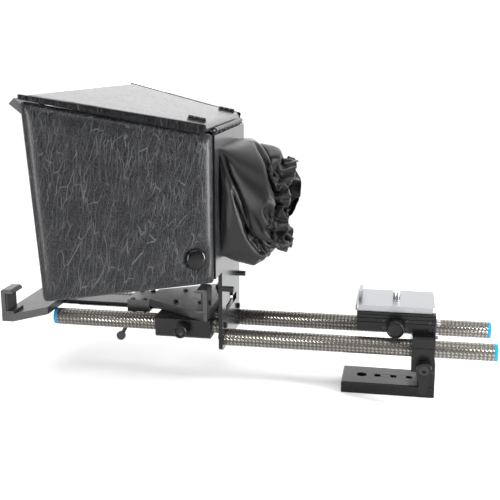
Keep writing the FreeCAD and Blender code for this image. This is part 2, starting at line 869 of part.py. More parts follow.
leaf_shift = d.bracket_leaf / cosine(d.flare_angle)
bracket_front = plate_front - d.bracket_depth
brackets, blocks, plate_screws = [], [], []
for name, side in SIDES:
    corners = (
        (d.bracket_inner, plate_front), (inner_x(plate_front), plate_front),
        (inner_x(bracket_front), bracket_front), (inner_x(bracket_front) - leaf_shift, bracket_front),
        (inner_x(plate_front - d.bracket_leaf) - leaf_shift, plate_front - d.bracket_leaf),
        (d.bracket_inner, plate_front - d.bracket_leaf),
    )
    bracket = upright_prism("bracket_" + name, corners, d.bracket_bottom, d.bracket_top, side)
    cut(
        bracket, "XZ", plate_front - d.bracket_leaf, plate_front,
        *[circle(bracket_screw_x * side, z, d.small_thread_radius) for z in BRACKET_SCREW_Z],
    )
    brackets.append(bracket)

    rear, front = d.pivot_y + d.block_half, d.pivot_y - d.block_half
    corners = (
        (block_x(rear), rear), (block_x(front), front), (inner_x(front), front), (inner_x(rear), rear),
    )
    low, high = d.pivot_z - d.block_half, d.pivot_z + d.block_half
    solid = upright_prism("pivot_block_solid_" + name, corners, low, high, side)
    bore = cylinder(
        "pivot_bore_" + name, d.pivot_radius + d.rod_gap, d.block_half * 4,
        d.block_half * -2, d.pivot_y, d.pivot_z, TO_X,
    )
    place(bore, d.block_inner * side - d.block_half * 2, d.pivot_y, d.pivot_z, TO_X)
    turn = Rotation(Vector(0, 0, 1), -90 + side * d.flare_angle.value)
    inward = turn.multiply(TO_MINUS_Y if side > 0 else TO_Y)
    entry = outer_x(d.pivot_y) * side
    lock_bore = cylinder(
        "lock_bore_" + name, d.pivot_radius + d.rod_gap, d.lock_shank + 1,
        entry, d.pivot_y, d.pivot_z, inward,
    )
    blocks.append(subtract("pivot_block_" + name, solid, fuse("pivot_bores_" + name, [bore, lock_bore])))

    fastener = (d.small_head_radius, d.small_head_height, d.small_thread_radius)
    for number, z in enumerate(BRACKET_SCREW_Z):
        spot = (bracket_screw_x * side, plate_front - d.bracket_leaf, z)
        title = "bracket_screw_" + name + str(number)
        plate_screws.append(screw(title, *fastener, d.bracket_leaf + d.small_bite, spot, TO_MINUS_Y))
    for number, z in enumerate(RETAINER_SCREW_Z):
        spot = (retainer_screw_x * side, retainer_front, z)
        reach = d.retainer_thickness + d.shroud_flange + d.small_bite
        title = "retainer_screw_" + name + str(number)
        plate_screws.append(screw(title, *fastener, reach, spot, TO_MINUS_Y))

    knob = turned(
        "glass_knob_" + name,
        (0, -d.lock_shank), (d.pivot_radius, -d.lock_shank), (d.pivot_radius, 0.3),
        (d.lock_head_radius, 0.3), (d.lock_head_radius, d.lock_head_height), (0, d.lock_head_height),
    )
    rim = d.lock_head_radius.value
    top = d.lock_head_height.value
    soften(knob, "Fillet", 3.4, lambda edge, at: at.z > top - 0.01 and edge.BoundBox.XLength > rim)
    outward = turn.multiply(TO_Y if side > 0 else TO_MINUS_Y)
    place(knob, entry, d.pivot_y, d.pivot_z, outward)
group("hood_brackets", brackets)
group("pivot_blocks", blocks)
group("plate_screws", plate_screws)


# ---------------------------------------------------------------- beam splitter glass

GLASS_TILT = Rotation(Vector(1, 0, 0), -d.glass_angle.value)


def glass_outline(inset):
    """The glass's tapered outline, moved in from the frame's outer edge."""
    tail, reach = d.glass_tail - inset, d.glass_reach - inset
    half_tail = d.glass_half_at_pivot - d.glass_taper * tail - inset
    half_reach = d.glass_half_at_pivot + d.glass_taper * reach - inset
    return polygon((-half_tail, tail), (-half_reach, -reach), (half_reach, -reach), (half_tail, tail))


frame = new_body("glass_frame")
rail_half = d.glass_rail_thickness / 2
prism(frame, "XY", -rail_half, rail_half, glass_outline(size(0)), glass_outline(d.glass_rail))
cut(frame, "XY", -d.glass_thickness / 2, d.glass_thickness / 2, glass_outline(d.glass_seat))
place(frame, 0, d.pivot_y, d.pivot_z, GLASS_TILT)

pane = new_body("glass_pane")
prism(pane, "XY", -d.glass_thickness / 2, d.glass_thickness / 2, glass_outline(d.glass_seat))
place(pane, 0, d.pivot_y, d.pivot_z, GLASS_TILT)

frame_bores, pins = [], []
pin_length = d.pivot_pin_outer - d.pivot_pin_inner
for name, side in SIDES:
    start = d.pivot_pin_inner if side > 0 else -d.pivot_pin_outer
    cut(frame, "YZ", start, start + pin_length, circle(0, 0, d.pivot_radius))
    pins.append(cylinder("pin_" + name, d.pivot_radius, pin_length, start, d.pivot_y, d.pivot_z, TO_X))
group("pivot_pins", pins)


# ---------------------------------------------------------------- tripod plate and rod clamp

tripod_plate = new_body("tripod_plate")
holes = [circle(0, d.quarter_inch_pitch * step, d.quarter_inch_radius) for step in (-1, 0, 1)]
prism(
    tripod_plate, "XY", 0, d.tripod_thickness,
    rectangle(-d.tripod_half_width, d.tripod_half_width, d.tripod_front, d.tripod_rear),
    circle(0, d.three_eighths_y, d.three_eighths_radius), *holes,
)
post_screw_y = (d.post_front + d.tripod_rear) / 2
for side in (1, -1):
    spot = (d.post_screw_x * side, post_screw_y)
    cut(tripod_plate, "XY", 0, d.tripod_thickness, circle(*spot, d.thread_radius))
    cut(tripod_plate, "XY", 0, d.button_head_height, circle(*spot, d.button_head_radius))
soften(
    tripod_plate, "Chamfer", 0.8,
    lambda edge, at: edge.Length > 30 and at.z > 9.9,
)

post = new_body("support_post")
prism(
    post, "XY", d.tripod_thickness, d.saddle_bottom,
    rectangle(-d.tripod_half_width, d.tripod_half_width, d.post_front, d.tripod_rear),
)
for side in (1, -1):
    spot = (d.post_screw_x * side, post_screw_y)
    cut(post, "XY", d.tripod_thickness, d.saddle_bottom, circle(*spot, d.thread_radius))
soften(post, "Fillet", 1.5, lambda edge, at: along(edge, Vector(0, 0, 1)) and abs(at.x) > 20)

rod_seats = [
    circle(d.rod_spacing_half * side, d.rear_rod_height, d.rod_radius + d.rod_gap) for side in (1, -1)
]
CLAMP_SCREWS = ((15, 19), (15, 29), (-15, 19), (-15, 29))
BASE_SCREWS = ((8, 19), (8, 29), (-8, 19), (-8, 29))

saddle = new_body("rod_saddle")
prism(
    saddle, "XZ", d.clamp_front, d.clamp_rear,
    rectangle(-d.saddle_half_width, d.saddle_half_width, d.saddle_bottom, d.saddle_split),
)
cut(saddle, "XZ", d.clamp_front, d.clamp_rear, *rod_seats)
cut(
    saddle, "YZ", -d.saddle_half_width, d.saddle_half_width,
    circle(d.lever_y, d.lever_z, d.lever_bolt_radius + d.rod_gap),
)
cut(
    saddle, "XY", d.saddle_split - 10, d.saddle_split,
    *[circle(x, y, d.thread_radius) for x, y in CLAMP_SCREWS],
)
for side in (1, -1):
    cut(
        saddle, "XY", d.saddle_bottom, d.saddle_bottom + d.post_screw_bite,
        circle(d.post_screw_x * side, post_screw_y, d.thread_radius),
    )
soften(saddle, "Fillet", 2, lambda edge, at: along(edge, Vector(0, 1, 0)) and at.z < 31)

clamp_cap = new_body("clamp_cap")
prism(
    clamp_cap, "XZ", d.clamp_front, d.clamp_rear,
    rectangle(-d.saddle_half_width, d.saddle_half_width, d.saddle_split + d.cap_gap, d.clamp_top),
)
cut(clamp_cap, "XZ", d.clamp_front, d.clamp_rear, *rod_seats)
cut(
    clamp_cap, "XY", d.saddle_split, d.clamp_top,
    *[circle(x, y, d.thread_radius) for x, y in CLAMP_SCREWS],
)
cut(
    clamp_cap, "XY", d.clamp_top - d.button_head_height, d.clamp_top,
    *[circle(x, y, d.button_head_radius) for x, y in CLAMP_SCREWS],
)
cut(
    clamp_cap, "XY", d.clamp_top - d.cap_thread_depth, d.clamp_top,
    *[circle(x, y, d.thread_radius) for x, y in BASE_SCREWS],
)
soften(
    clamp_cap, "Fillet", 1.5,
    lambda edge, at: along(edge, Vector(0, 1, 0)) and at.z > 61 and abs(at.x) > 39,
)

clamp_fasteners = []
long_screw = (d.button_head_radius, d.button_head_height, d.thread_radius)
for number, (x, y) in enumerate(CLAMP_SCREWS):
    spot = (x, y, d.clamp_top - d.button_head_height)
    clamp_fasteners.append(screw("clamp_screw" + str(number), *long_screw, 17, spot, UPRIGHT))
for number, (x, y) in enumerate(BASE_SCREWS):
    spot = (x, y, d.channel_floor - d.button_head_height)
    clamp_fasteners.append(screw("base_screw" + str(number), *long_screw, d.base_screw_length, spot, UPRIGHT))
for number, side in enumerate((1, -1)):
    spot = (d.post_screw_x * side, post_screw_y, d.button_head_height)
    length = d.saddle_bottom + d.post_screw_bite - d.button_head_height
    clamp_fasteners.append(screw("post_screw" + str(number), *long_screw, length, spot, TO_MINUS_Z))
group("clamp_screws", clamp_fasteners)

lever_start = d.saddle_half_width + 0.3
lever_head = d.lever_bolt_radius * 1.7
lever = new_body("clamp_lever")
prism(
    lever, "YZ", lever_start, lever_start + d.lever_hub_length,
    circle(d.lever_y, d.lever_z, d.lever_hub_radius),
)
tip_z = d.lever_z - d.lever_arm_length
prism(
    lever, "YZ", lever_start + 2, lever_start + d.lever_hub_length - 1.5,
    polygon(
        (d.lever_y - d.lever_hub_radius * 0.95, d.lever_z), (d.lever_y - d.lever_tip_radius, tip_z),
        (d.lever_y + d.lever_tip_radius * 1.2, tip_z), (d.lever_y + d.lever_hub_radius * 0.95, d.lever_z),
    ),
)
cut(
    lever, "YZ", lever_start, lever_start + d.lever_hub_length,
    circle(d.lever_y, d.lever_z, d.lever_bolt_radius),
)
cut(
    lever, "YZ", lever_start + d.lever_hub_length - 4, lever_start + d.lever_hub_length,
    circle(d.lever_y, d.lever_z, lever_head),
)
soften(lever, "Fillet", 2, lambda edge, at: along(edge, Vector(1, 0, 0)) and at.z < 20)

bolt_spot = (lever_start + d.lever_hub_length - 4, d.lever_y, d.lever_z)
bolt_length = d.saddle_half_width * 2 + 12
lever_bolt = screw("lever_bolt", lever_head, size(3.6), d.lever_bolt_radius, bolt_length, bolt_spot, TO_X)
keep("lever_bolt", lever_bolt)

nut_body = doc.addObject("Part::Prism", "nut_hex")
nut_body.Polygon = 6
nut_body.setExpression("Circumradius", (d.lever_bolt_radius * 1.9).text)
nut_body.Height = 4.5
nut_bore = cylinder("nut_bore", d.lever_bolt_radius + d.rod_gap, 6)
lever_nut = keep("lever_nut", subtract("lever_nut", nut_body, nut_bore))
place(lever_nut, -d.saddle_half_width, d.lever_y, d.lever_z, TO_MINUS_X)


# ---------------------------------------------------------------- camera base and plate

base = new_body("camera_base")
GROOVES = (69.5, 73, 76.2)
prism(
    base, "XZ", d.base_front, d.base_rear,
    polygon(
        (-d.base_half_width, d.clamp_top), (d.base_half_width, d.clamp_top),
        (d.base_half_width, d.base_top), (d.channel_half, d.base_top),
        (d.channel_half, d.channel_floor), (-d.channel_half, d.channel_floor),
        (-d.channel_half, d.base_top), (-d.base_half_width, d.base_top),
    ),
)
for side in (1, -1):
    edge_x = d.base_half_width * side
    inner = edge_x - 0.8 * side
    low_x, high_x = (inner, edge_x) if side > 0 else (edge_x, inner)
    cut(
        base, "XZ", d.base_front, d.base_rear,
        *[rectangle(low_x, high_x, z, z + 0.9) for z in GROOVES],
    )
cut(
    base, "YZ", d.channel_half, d.base_half_width,
    circle(0, d.base_knob_z, d.pivot_radius + d.rod_gap),
)
cut(base, "XY", d.clamp_top, d.channel_floor, *[circle(x, y, d.thread_radius) for x, y in BASE_SCREWS])
cut(
    base, "XY", d.channel_floor - d.button_head_height, d.channel_floor,
    *[circle(x, y, d.button_head_radius) for x, y in BASE_SCREWS],
)
SET_SCREWS = [(y, z) for y in (-10, 9.4, 29) for z in (71.6, 65.2)]
cut(
    base, "YZ", d.base_half_width - d.set_screw_length, d.base_half_width,
    *[circle(y, z, d.small_thread_radius) for y, z in SET_SCREWS],
)
stop_screw_x, stop_screw_z = 22, 70.5
cut(base, "XZ", d.base_rear - 6, d.base_rear, circle(stop_screw_x, stop_screw_z, d.small_thread_radius))

side_screws = []
for number, (y, z) in enumerate(SET_SCREWS):
    spot = (d.base_half_width, y, z)
    fastener = (d.small_thread_radius * 1.2, size(0.6), d.small_thread_radius, d.set_screw_length)
    side_screws.append(screw("side_screw" + str(number), *fastener, spot, TO_X))
group("base_side_screws", side_screws)

rear_screws = []
cap_screw_x, cap_screw_z = 22.5, 58
cut(clamp_cap, "XZ", d.clamp_rear - 6, d.clamp_rear, circle(cap_screw_x, cap_screw_z, d.small_thread_radius))
stop = (stop_screw_x, d.base_rear, stop_screw_z)
rear_screws.append(screw("stop_screw", size(3.2), size(4), d.small_thread_radius, 6, stop, TO_Y))
stop = (cap_screw_x, d.clamp_rear, cap_screw_z)
rear_screws.append(screw("cap_screw", size(2.8), size(3), d.small_thread_radius, 6, stop, TO_Y))
group("rear_screws", rear_screws)

slider = new_body("camera_plate")
prism(
    slider, "XY", d.base_top + 0.3, d.slider_top,
    rectangle(-d.slider_half_width, d.slider_half_width, d.slider_front, d.slider_rear),
)
prism(
    slider, "XY", d.channel_floor + 0.5, d.base_top + 0.3,
    rectangle(
        -(d.channel_half - d.foot_gap), d.channel_half - d.foot_gap,
        d.slider_front + 2, d.slider_rear - 2,
    ),
)
prism(
    slider, "XY", d.slider_top, d.slider_top + d.lip_height,
    rectangle(-d.lip_half, d.lip_half, d.slider_front + 2, d.slider_front + 2 + d.lip_thickness),
)
screw_head_top = d.slider_top - d.screw_recess
cut(slider, "XY", d.channel_floor, d.slider_top, circle(0, 0, d.camera_screw_radius + d.rod_gap))
cut(slider, "XY", d.channel_floor, screw_head_top, circle(0, 0, d.screw_head_radius + d.screw_space))
soften(slider, "Fillet", 2.5, lambda edge, at: along(edge, Vector(0, 0, 1)) and abs(at.x) > 25)

# The neck is thinner than the thread, so the screw stays in the plate.
head_low = screw_head_top - d.screw_space - d.screw_head_height
camera_screw = turned(
    "camera_screw",
    (0, head_low), (d.screw_head_radius, head_low),
    (d.screw_head_radius, head_low + d.screw_head_height),
    (d.screw_neck_radius, head_low + d.screw_head_height),
    (d.screw_neck_radius, d.slider_top), (d.camera_screw_radius, d.slider_top),
    (d.camera_screw_radius, d.slider_top + d.camera_screw_reach),
    (0, d.slider_top + d.camera_screw_reach),
)
cut(
    camera_screw, "XY", head_low, head_low + d.screw_slot,
    rectangle(-d.screw_head_radius, d.screw_head_radius, -d.screw_slot / 2, d.screw_slot / 2),
)


def knob(label, radius, length, flutes):
    """A thumb knob on +Z with a fluted grip, standing on z = 0."""
    body = new_body(label)
    prism(body, "XY", 0, length, circle(0, 0, radius))
    soften(body, "Fillet", 1, lambda edge, at: at.z > size(length).value - 0.01)
    notch = size(radius) * 0.075
    flute = cut(body, "XY", 1.2, size(length) - 1.2, circle(size(radius) + notch * 0.35, 0, notch))
    pattern = body.newObject("PartDesign::PolarPattern", label + "_flutes")
    pattern.Originals = [flute]
    pattern.Axis = (flute.Profile[0], ["N_Axis"])
    pattern.Angle = 360
    pattern.Occurrences = flutes
    body.Tip = pattern
    doc.recompute()
    return body


base_knob = knob("base_knob", d.base_knob_radius, d.base_knob_length, 24)
shank_length = d.base_half_width + 1.5 - d.channel_half
prism(base_knob, "XY", -shank_length, 0, circle(0, 0, d.pivot_radius))
place(base_knob, d.base_half_width + 1.5, 0, d.base_knob_z, TO_X)


# ---------------------------------------------------------------- tablet carriage

carriage = new_body("carriage_block")
prism(
    carriage, "XZ", d.carriage_front, d.carriage_rear,
    rectangle(-d.carriage_half_width, d.carriage_half_width, d.carriage_bottom, d.carriage_top),
)
cut(
    carriage, "XZ", d.carriage_front, d.carriage_rear,
    *[circle(d.rod_spacing_half * side, d.front_rod_height, d.rod_radius + d.rod_gap) for side in (1, -1)],
)
channel_half = d.bar_half_width + d.bar_gap * 2
cut(
    carriage, "XZ", d.carriage_front, d.carriage_rear,
    rectangle(-channel_half, channel_half, d.bar_bottom - d.bar_gap, d.carriage_top),
)
cut(
    carriage, "YZ", -d.carriage_half_width, d.carriage_half_width,
    circle(d.carriage_knob_y, d.front_rod_height, d.pivot_radius + d.rod_gap),
)
WING_SCREWS = ((18, -175), (18, -198), (-18, -175), (-18, -198))
cut(
    carriage, "XY", d.carriage_top - 8, d.carriage_top,
    *[circle(x, y, d.small_thread_radius) for x, y in WING_SCREWS],
)
soften(carriage, "Chamfer", 1.6, lambda edge, at: along(edge, Vector(0, 1, 0)) and abs(at.x) > 44)

for name, side in SIDES:
    thumb = knob("carriage_knob_" + name, d.carriage_knob_radius, d.carriage_knob_length, 20)
    reach = d.carriage_half_width + 1 - d.rod_spacing_half - d.rod_radius - 0.3
    prism(thumb, "XY", -reach, 0, circle(0, 0, d.pivot_radius))
    place(
        thumb, (d.carriage_half_width + 1) * side, d.carriage_knob_y, d.front_rod_height,
        TO_X if side > 0 else TO_MINUS_X,
    )


# ---------------------------------------------------------------- tablet cradle

slot_low, slot_high = d.bar_bottom - d.bar_gap, d.bar_top + d.bar_gap
shell = block(
    "housing_shell", -d.housing_half_width, d.housing_half_width,
    d.housing_front, d.housing_rear, d.housing_bottom, d.housing_top,
)
tunnel = block(
    "housing_tunnel", -channel_half, channel_half,
    d.housing_front - 1, d.housing_rear + 1, slot_low, slot_high,
)
tilted = Rotation(Vector(1, 0, 0), 180 - d.lock_screw_tilt.value)
lock_hole = cylinder("lock_hole", d.lock_screw_radius + d.rod_gap, 9, 0, d.lock_screw_y, slot_low, tilted)
HOUSING_SCREWS = ((14.2, -229), (14.2, -240), (-14.2, -229), (-14.2, -240))
housing_holes = [
    cylinder("housing_hole" + str(number), d.small_thread_radius, 14, x, y, d.housing_bottom - 1)
    for number, (x, y) in enumerate(HOUSING_SCREWS)
]
cavities = fuse("housing_cavities", [tunnel, lock_hole] + housing_holes)
keep("cradle_housing", subtract("cradle_housing", shell, cavities))

bar = new_body("slide_bar")
prism(
    bar, "XY", d.bar_bottom, d.bar_top,
    rectangle(-d.bar_half_width, d.bar_half_width, d.bar_front, d.bar_rear),
)
BAR_SCREWS = ((0, -314), (0, -324))
cut(bar, "XY", d.bar_bottom, d.bar_top, *[circle(x, y, d.small_thread_radius) for x, y in BAR_SCREWS])

rear_wing = new_body("rear_wing")
wing_inner = d.housing_half_width
prism(
    rear_wing, "XY", d.carriage_top, d.rear_wing_top,
    polygon(
        (-wing_inner, d.housing_rear), (wing_inner, d.housing_rear),
        (d.rear_wing_half, d.rear_wing_edge - d.rear_wing_end), (d.rear_wing_half, d.rear_wing_edge),
        (-d.rear_wing_half, d.rear_wing_edge), (-d.rear_wing_half, d.rear_wing_edge - d.rear_wing_end),
    ),
)
cut(
    rear_wing, "XY", d.carriage_top, slot_high,
    rectangle(-channel_half, channel_half, d.housing_rear, d.rear_wing_edge),
)
cut(
    rear_wing, "XY", d.carriage_top, d.rear_wing_top,
    *[circle(x, y, d.small_thread_radius) for x, y in WING_SCREWS],
)

front_wing = new_body("front_wing")
prism(
    front_wing, "XY", d.front_wing_bottom, d.front_wing_top,
    polygon(
        (-d.front_wing_waist, d.front_wing_rear), (-d.front_wing_half, d.front_wing_front + d.wing_end),
        (-d.front_wing_half, d.front_wing_front), (d.front_wing_half, d.front_wing_front),
        (d.front_wing_half, d.front_wing_front + d.wing_end), (d.front_wing_waist, d.front_wing_rear),
    ),
)
cut(
    front_wing, "XY", d.front_wing_bottom, d.bar_top,
    rectangle(-d.bar_half_width, d.bar_half_width, d.bar_front, d.front_wing_rear),
)
cut(
    front_wing, "XY", d.bar_top, d.bar_top + 2.5,
    *[circle(x, y, d.small_thread_radius) for x, y in BAR_SCREWS],
)


def claw(name, x_low, edge, floor, inward):
    """A C-shaped claw on a wing's edge, open towards the tablet."""
    body = doc.addObject("PartDesign::Body", name)
    wall, mouth = edge + d.claw_wall * inward, edge + d.claw_depth * inward
    top = floor + d.claw_height
    prism(
        body, "YZ", x_low, x_low + d.claw_width,
        polygon(
            (edge, floor), (mouth, floor), (mouth, floor + d.claw_foot), (wall, floor + d.claw_foot),
            (wall, top - d.claw_lip), (mouth, top - d.claw_lip), (mouth, top - d.claw_lip / 2),
            (mouth - 2 * inward, top), (edge + 1.5 * inward, top), (edge, top - 1.5),
        ),
    )
    cut(
        body, "XZ", *((wall, edge) if inward < 0 else (edge, wall)),
        circle(x_low + d.claw_width / 2, floor + 7, d.small_thread_radius),
    )
    return body


def claw_pad(name, x_low, edge, floor, inward):
    """The rubber lining on the claw's upright wall."""
    wall = edge + d.claw_wall * inward
    face = wall + d.pad_thickness * inward
    low, high = (face, wall) if inward < 0 else (wall, face)
    return block(
        name, x_low + 1, x_low + d.claw_width - 1, low, high,
        floor + d.claw_foot, floor + d.claw_height - d.claw_lip,
    )


def claws(prefix, half, edge, floor, inward, outward):
    """The pair of claws on one wing, with their pads and screws."""
    solids, pads, screws = [], [], []
    for name, side in SIDES:
        x_low = half - d.claw_width if side > 0 else -half
        solids.append(claw(prefix + "_claw_" + name, x_low, edge, floor, inward))
        pads.append(claw_pad(prefix + "_pad_" + name, x_low, edge, floor, inward))
        fastener = (d.small_head_radius, d.small_head_height, d.small_thread_radius, d.claw_wall)
        spot = (x_low + d.claw_width / 2, edge, floor + 7)
        screws.append(screw(prefix + "_claw_screw_" + name, *fastener, spot, outward))
    group(prefix + "_claws", solids)
    group(prefix + "_claw_pads", pads)
    group(prefix + "_claw_screws", screws)


claws("rear", d.rear_wing_half, d.rear_wing_edge, d.rear_wing_top, -1, TO_Y)
claws("front", d.front_wing_half, d.front_wing_front, d.front_wing_top, 1, TO_MINUS_Y)

cradle_screws = []
small_screw = (d.small_head_radius, d.small_head_height, d.small_thread_radius)
for number, (x, y) in enumerate(WING_SCREWS):
    spot = (x, y, d.rear_wing_top)
    cradle_screws.append(screw("wing_screw" + str(number), *small_screw, 13, spot, UPRIGHT))
for number, (x, y) in enumerate(HOUSING_SCREWS):
    spot = (x, y, d.housing_top)
    cradle_screws.append(screw("housing_screw" + str(number), *small_screw, 15, spot, UPRIGHT))
group("cradle_screws", cradle_screws)

bar_screws = []
for number, (x, y) in enumerate(BAR_SCREWS):
    spot = (x, y, d.bar_bottom)
    bar_screws.append(screw("bar_screw" + str(number), *small_screw, 6, spot, TO_MINUS_Z))
group("bar_screws", bar_screws)

stem = cylinder("lock_stem", d.lock_screw_radius, d.lock_screw_length, 0, 0, d.lock_screw_start)
disc = cylinder(
    "lock_disc", d.lock_paddle_radius, 3, -1.5, 0, d.lock_screw_length + d.lock_paddle_radius * 0.8, TO_X,
)
lock_screw = keep("cradle_lock_screw", fuse("cradle_lock_screw", [stem, disc]))
place(lock_screw, 0, d.lock_screw_y, slot_low, tilted)


# ---------------------------------------------------------------- checks and files

doc.recompute()
for item in doc.Objects:
    if "Invalid" in item.State or "Error" in item.State:
        raise RuntimeError(item.Label + " failed: " + str(item.State))

os.makedirs("parts", exist_ok=True)
for label, item in PARTS.items():
    if item.Shape.isNull() or not item.Shape.isValid() or not item.Shape.Solids:
        raise RuntimeError(label + " has no valid shape")
    item.Shape.exportStep(os.path.join("parts", label + ".step"))
print(len(PARTS), "sub-parts written")
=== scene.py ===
import json
import math

import bmesh
import bpy
import numpy as np
from mathutils import Matrix, Vector, noise


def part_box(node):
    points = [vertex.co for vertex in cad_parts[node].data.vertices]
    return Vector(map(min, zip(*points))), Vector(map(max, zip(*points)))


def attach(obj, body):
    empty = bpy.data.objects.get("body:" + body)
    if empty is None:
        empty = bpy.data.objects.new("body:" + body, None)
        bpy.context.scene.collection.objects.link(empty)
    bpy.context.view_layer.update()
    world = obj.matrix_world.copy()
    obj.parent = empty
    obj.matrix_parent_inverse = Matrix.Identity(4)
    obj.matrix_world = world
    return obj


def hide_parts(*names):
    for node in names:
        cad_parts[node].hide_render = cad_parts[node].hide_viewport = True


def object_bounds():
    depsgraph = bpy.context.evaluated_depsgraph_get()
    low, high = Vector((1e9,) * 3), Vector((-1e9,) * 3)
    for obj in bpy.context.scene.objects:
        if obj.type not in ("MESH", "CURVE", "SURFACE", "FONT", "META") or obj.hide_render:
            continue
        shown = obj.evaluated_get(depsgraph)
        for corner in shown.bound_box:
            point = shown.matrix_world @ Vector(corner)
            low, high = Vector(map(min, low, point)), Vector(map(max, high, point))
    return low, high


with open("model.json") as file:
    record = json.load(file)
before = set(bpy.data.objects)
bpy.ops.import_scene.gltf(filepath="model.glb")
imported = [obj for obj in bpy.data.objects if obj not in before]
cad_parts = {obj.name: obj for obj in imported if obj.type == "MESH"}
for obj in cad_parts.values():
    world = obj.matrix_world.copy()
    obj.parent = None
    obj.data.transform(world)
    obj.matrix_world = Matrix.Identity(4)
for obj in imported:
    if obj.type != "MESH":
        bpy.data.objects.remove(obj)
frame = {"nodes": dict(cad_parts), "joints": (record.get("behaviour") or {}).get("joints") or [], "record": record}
cad_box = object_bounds()
nodes = frame["nodes"]
joints = {joint["name"]: joint for joint in frame["joints"]}
openings = {space["name"]: space["box_m"] for space in frame["record"]["physics"]["openings"]}

MM = 0.001
UP = Vector((0, 0, 1))
TURN = 2 * math.pi


# ---------------------------------------------------------------- camera, floor and light

CAMERA_PLACE = Vector((0.7219, -0.0033, 0.2946))
CAMERA_TARGET = Vector((0.0, -0.1325, 0.1226))
CAMERA_LENS_MM = 59.8
SENSOR_WIDTH_MM = 36
FLOOR_HALF = 6.0
FLOOR_DROP = 0.4 * MM
WHITE = (1.0, 1.0, 1.0, 1.0)
SWEEP_EDGES = (-0.35, 0.45)
SWEEP_STRENGTHS = (2.0, 0.22)


def aim(item, place, target):
    item.location = place
    item.rotation_euler = (target - place).to_track_quat("-Z", "Y").to_euler()


def add_camera():
    data = bpy.data.cameras.new("camera")
    data.lens = CAMERA_LENS_MM
    data.sensor_width = SENSOR_WIDTH_MM
    camera = bpy.data.objects.new("camera", data)
    bpy.context.scene.collection.objects.link(camera)
    aim(camera, CAMERA_PLACE, CAMERA_TARGET)
    bpy.context.scene.camera = camera


def add_light(name, place, target, size, watts):
    """An oblong area light, with its width and height in metres."""
    data = bpy.data.lights.new(name, "AREA")
    data.shape = "RECTANGLE"
    data.size, data.size_y = size
    data.energy = watts
    light = bpy.data.objects.new(name, data)
    bpy.context.scene.collection.objects.link(light)
    aim(light, Vector(place), Vector(target))


def add_world():
    """A white sweep: bright behind the object, dimmer on the side of the camera."""
    world = bpy.data.worlds.new("studio")
    world.use_nodes = True
    bpy.context.scene.world = world
    tree = world.node_tree
    background = tree.nodes["Background"]
    spot = tree.nodes.new("ShaderNodeTexCoord")
    parts = tree.nodes.new("ShaderNodeSeparateXYZ")
    fall = tree.nodes.new("ShaderNodeMapRange")
    for end, edge, strength in zip(("Min", "Max"), SWEEP_EDGES, SWEEP_STRENGTHS):
        fall.inputs["From " + end].default_value = edge
        fall.inputs["To " + end].default_value = strength
    tree.links.new(spot.outputs["Generated"], parts.inputs[0])
    tree.links.new(parts.outputs["X"], fall.inputs["Value"])
    tree.links.new(fall.outputs[0], background.inputs["Strength"])
    background.inputs["Color"].default_value = WHITE


# ---------------------------------------------------------------- materials

NOISE_RANGE = (0.25, 0.75)


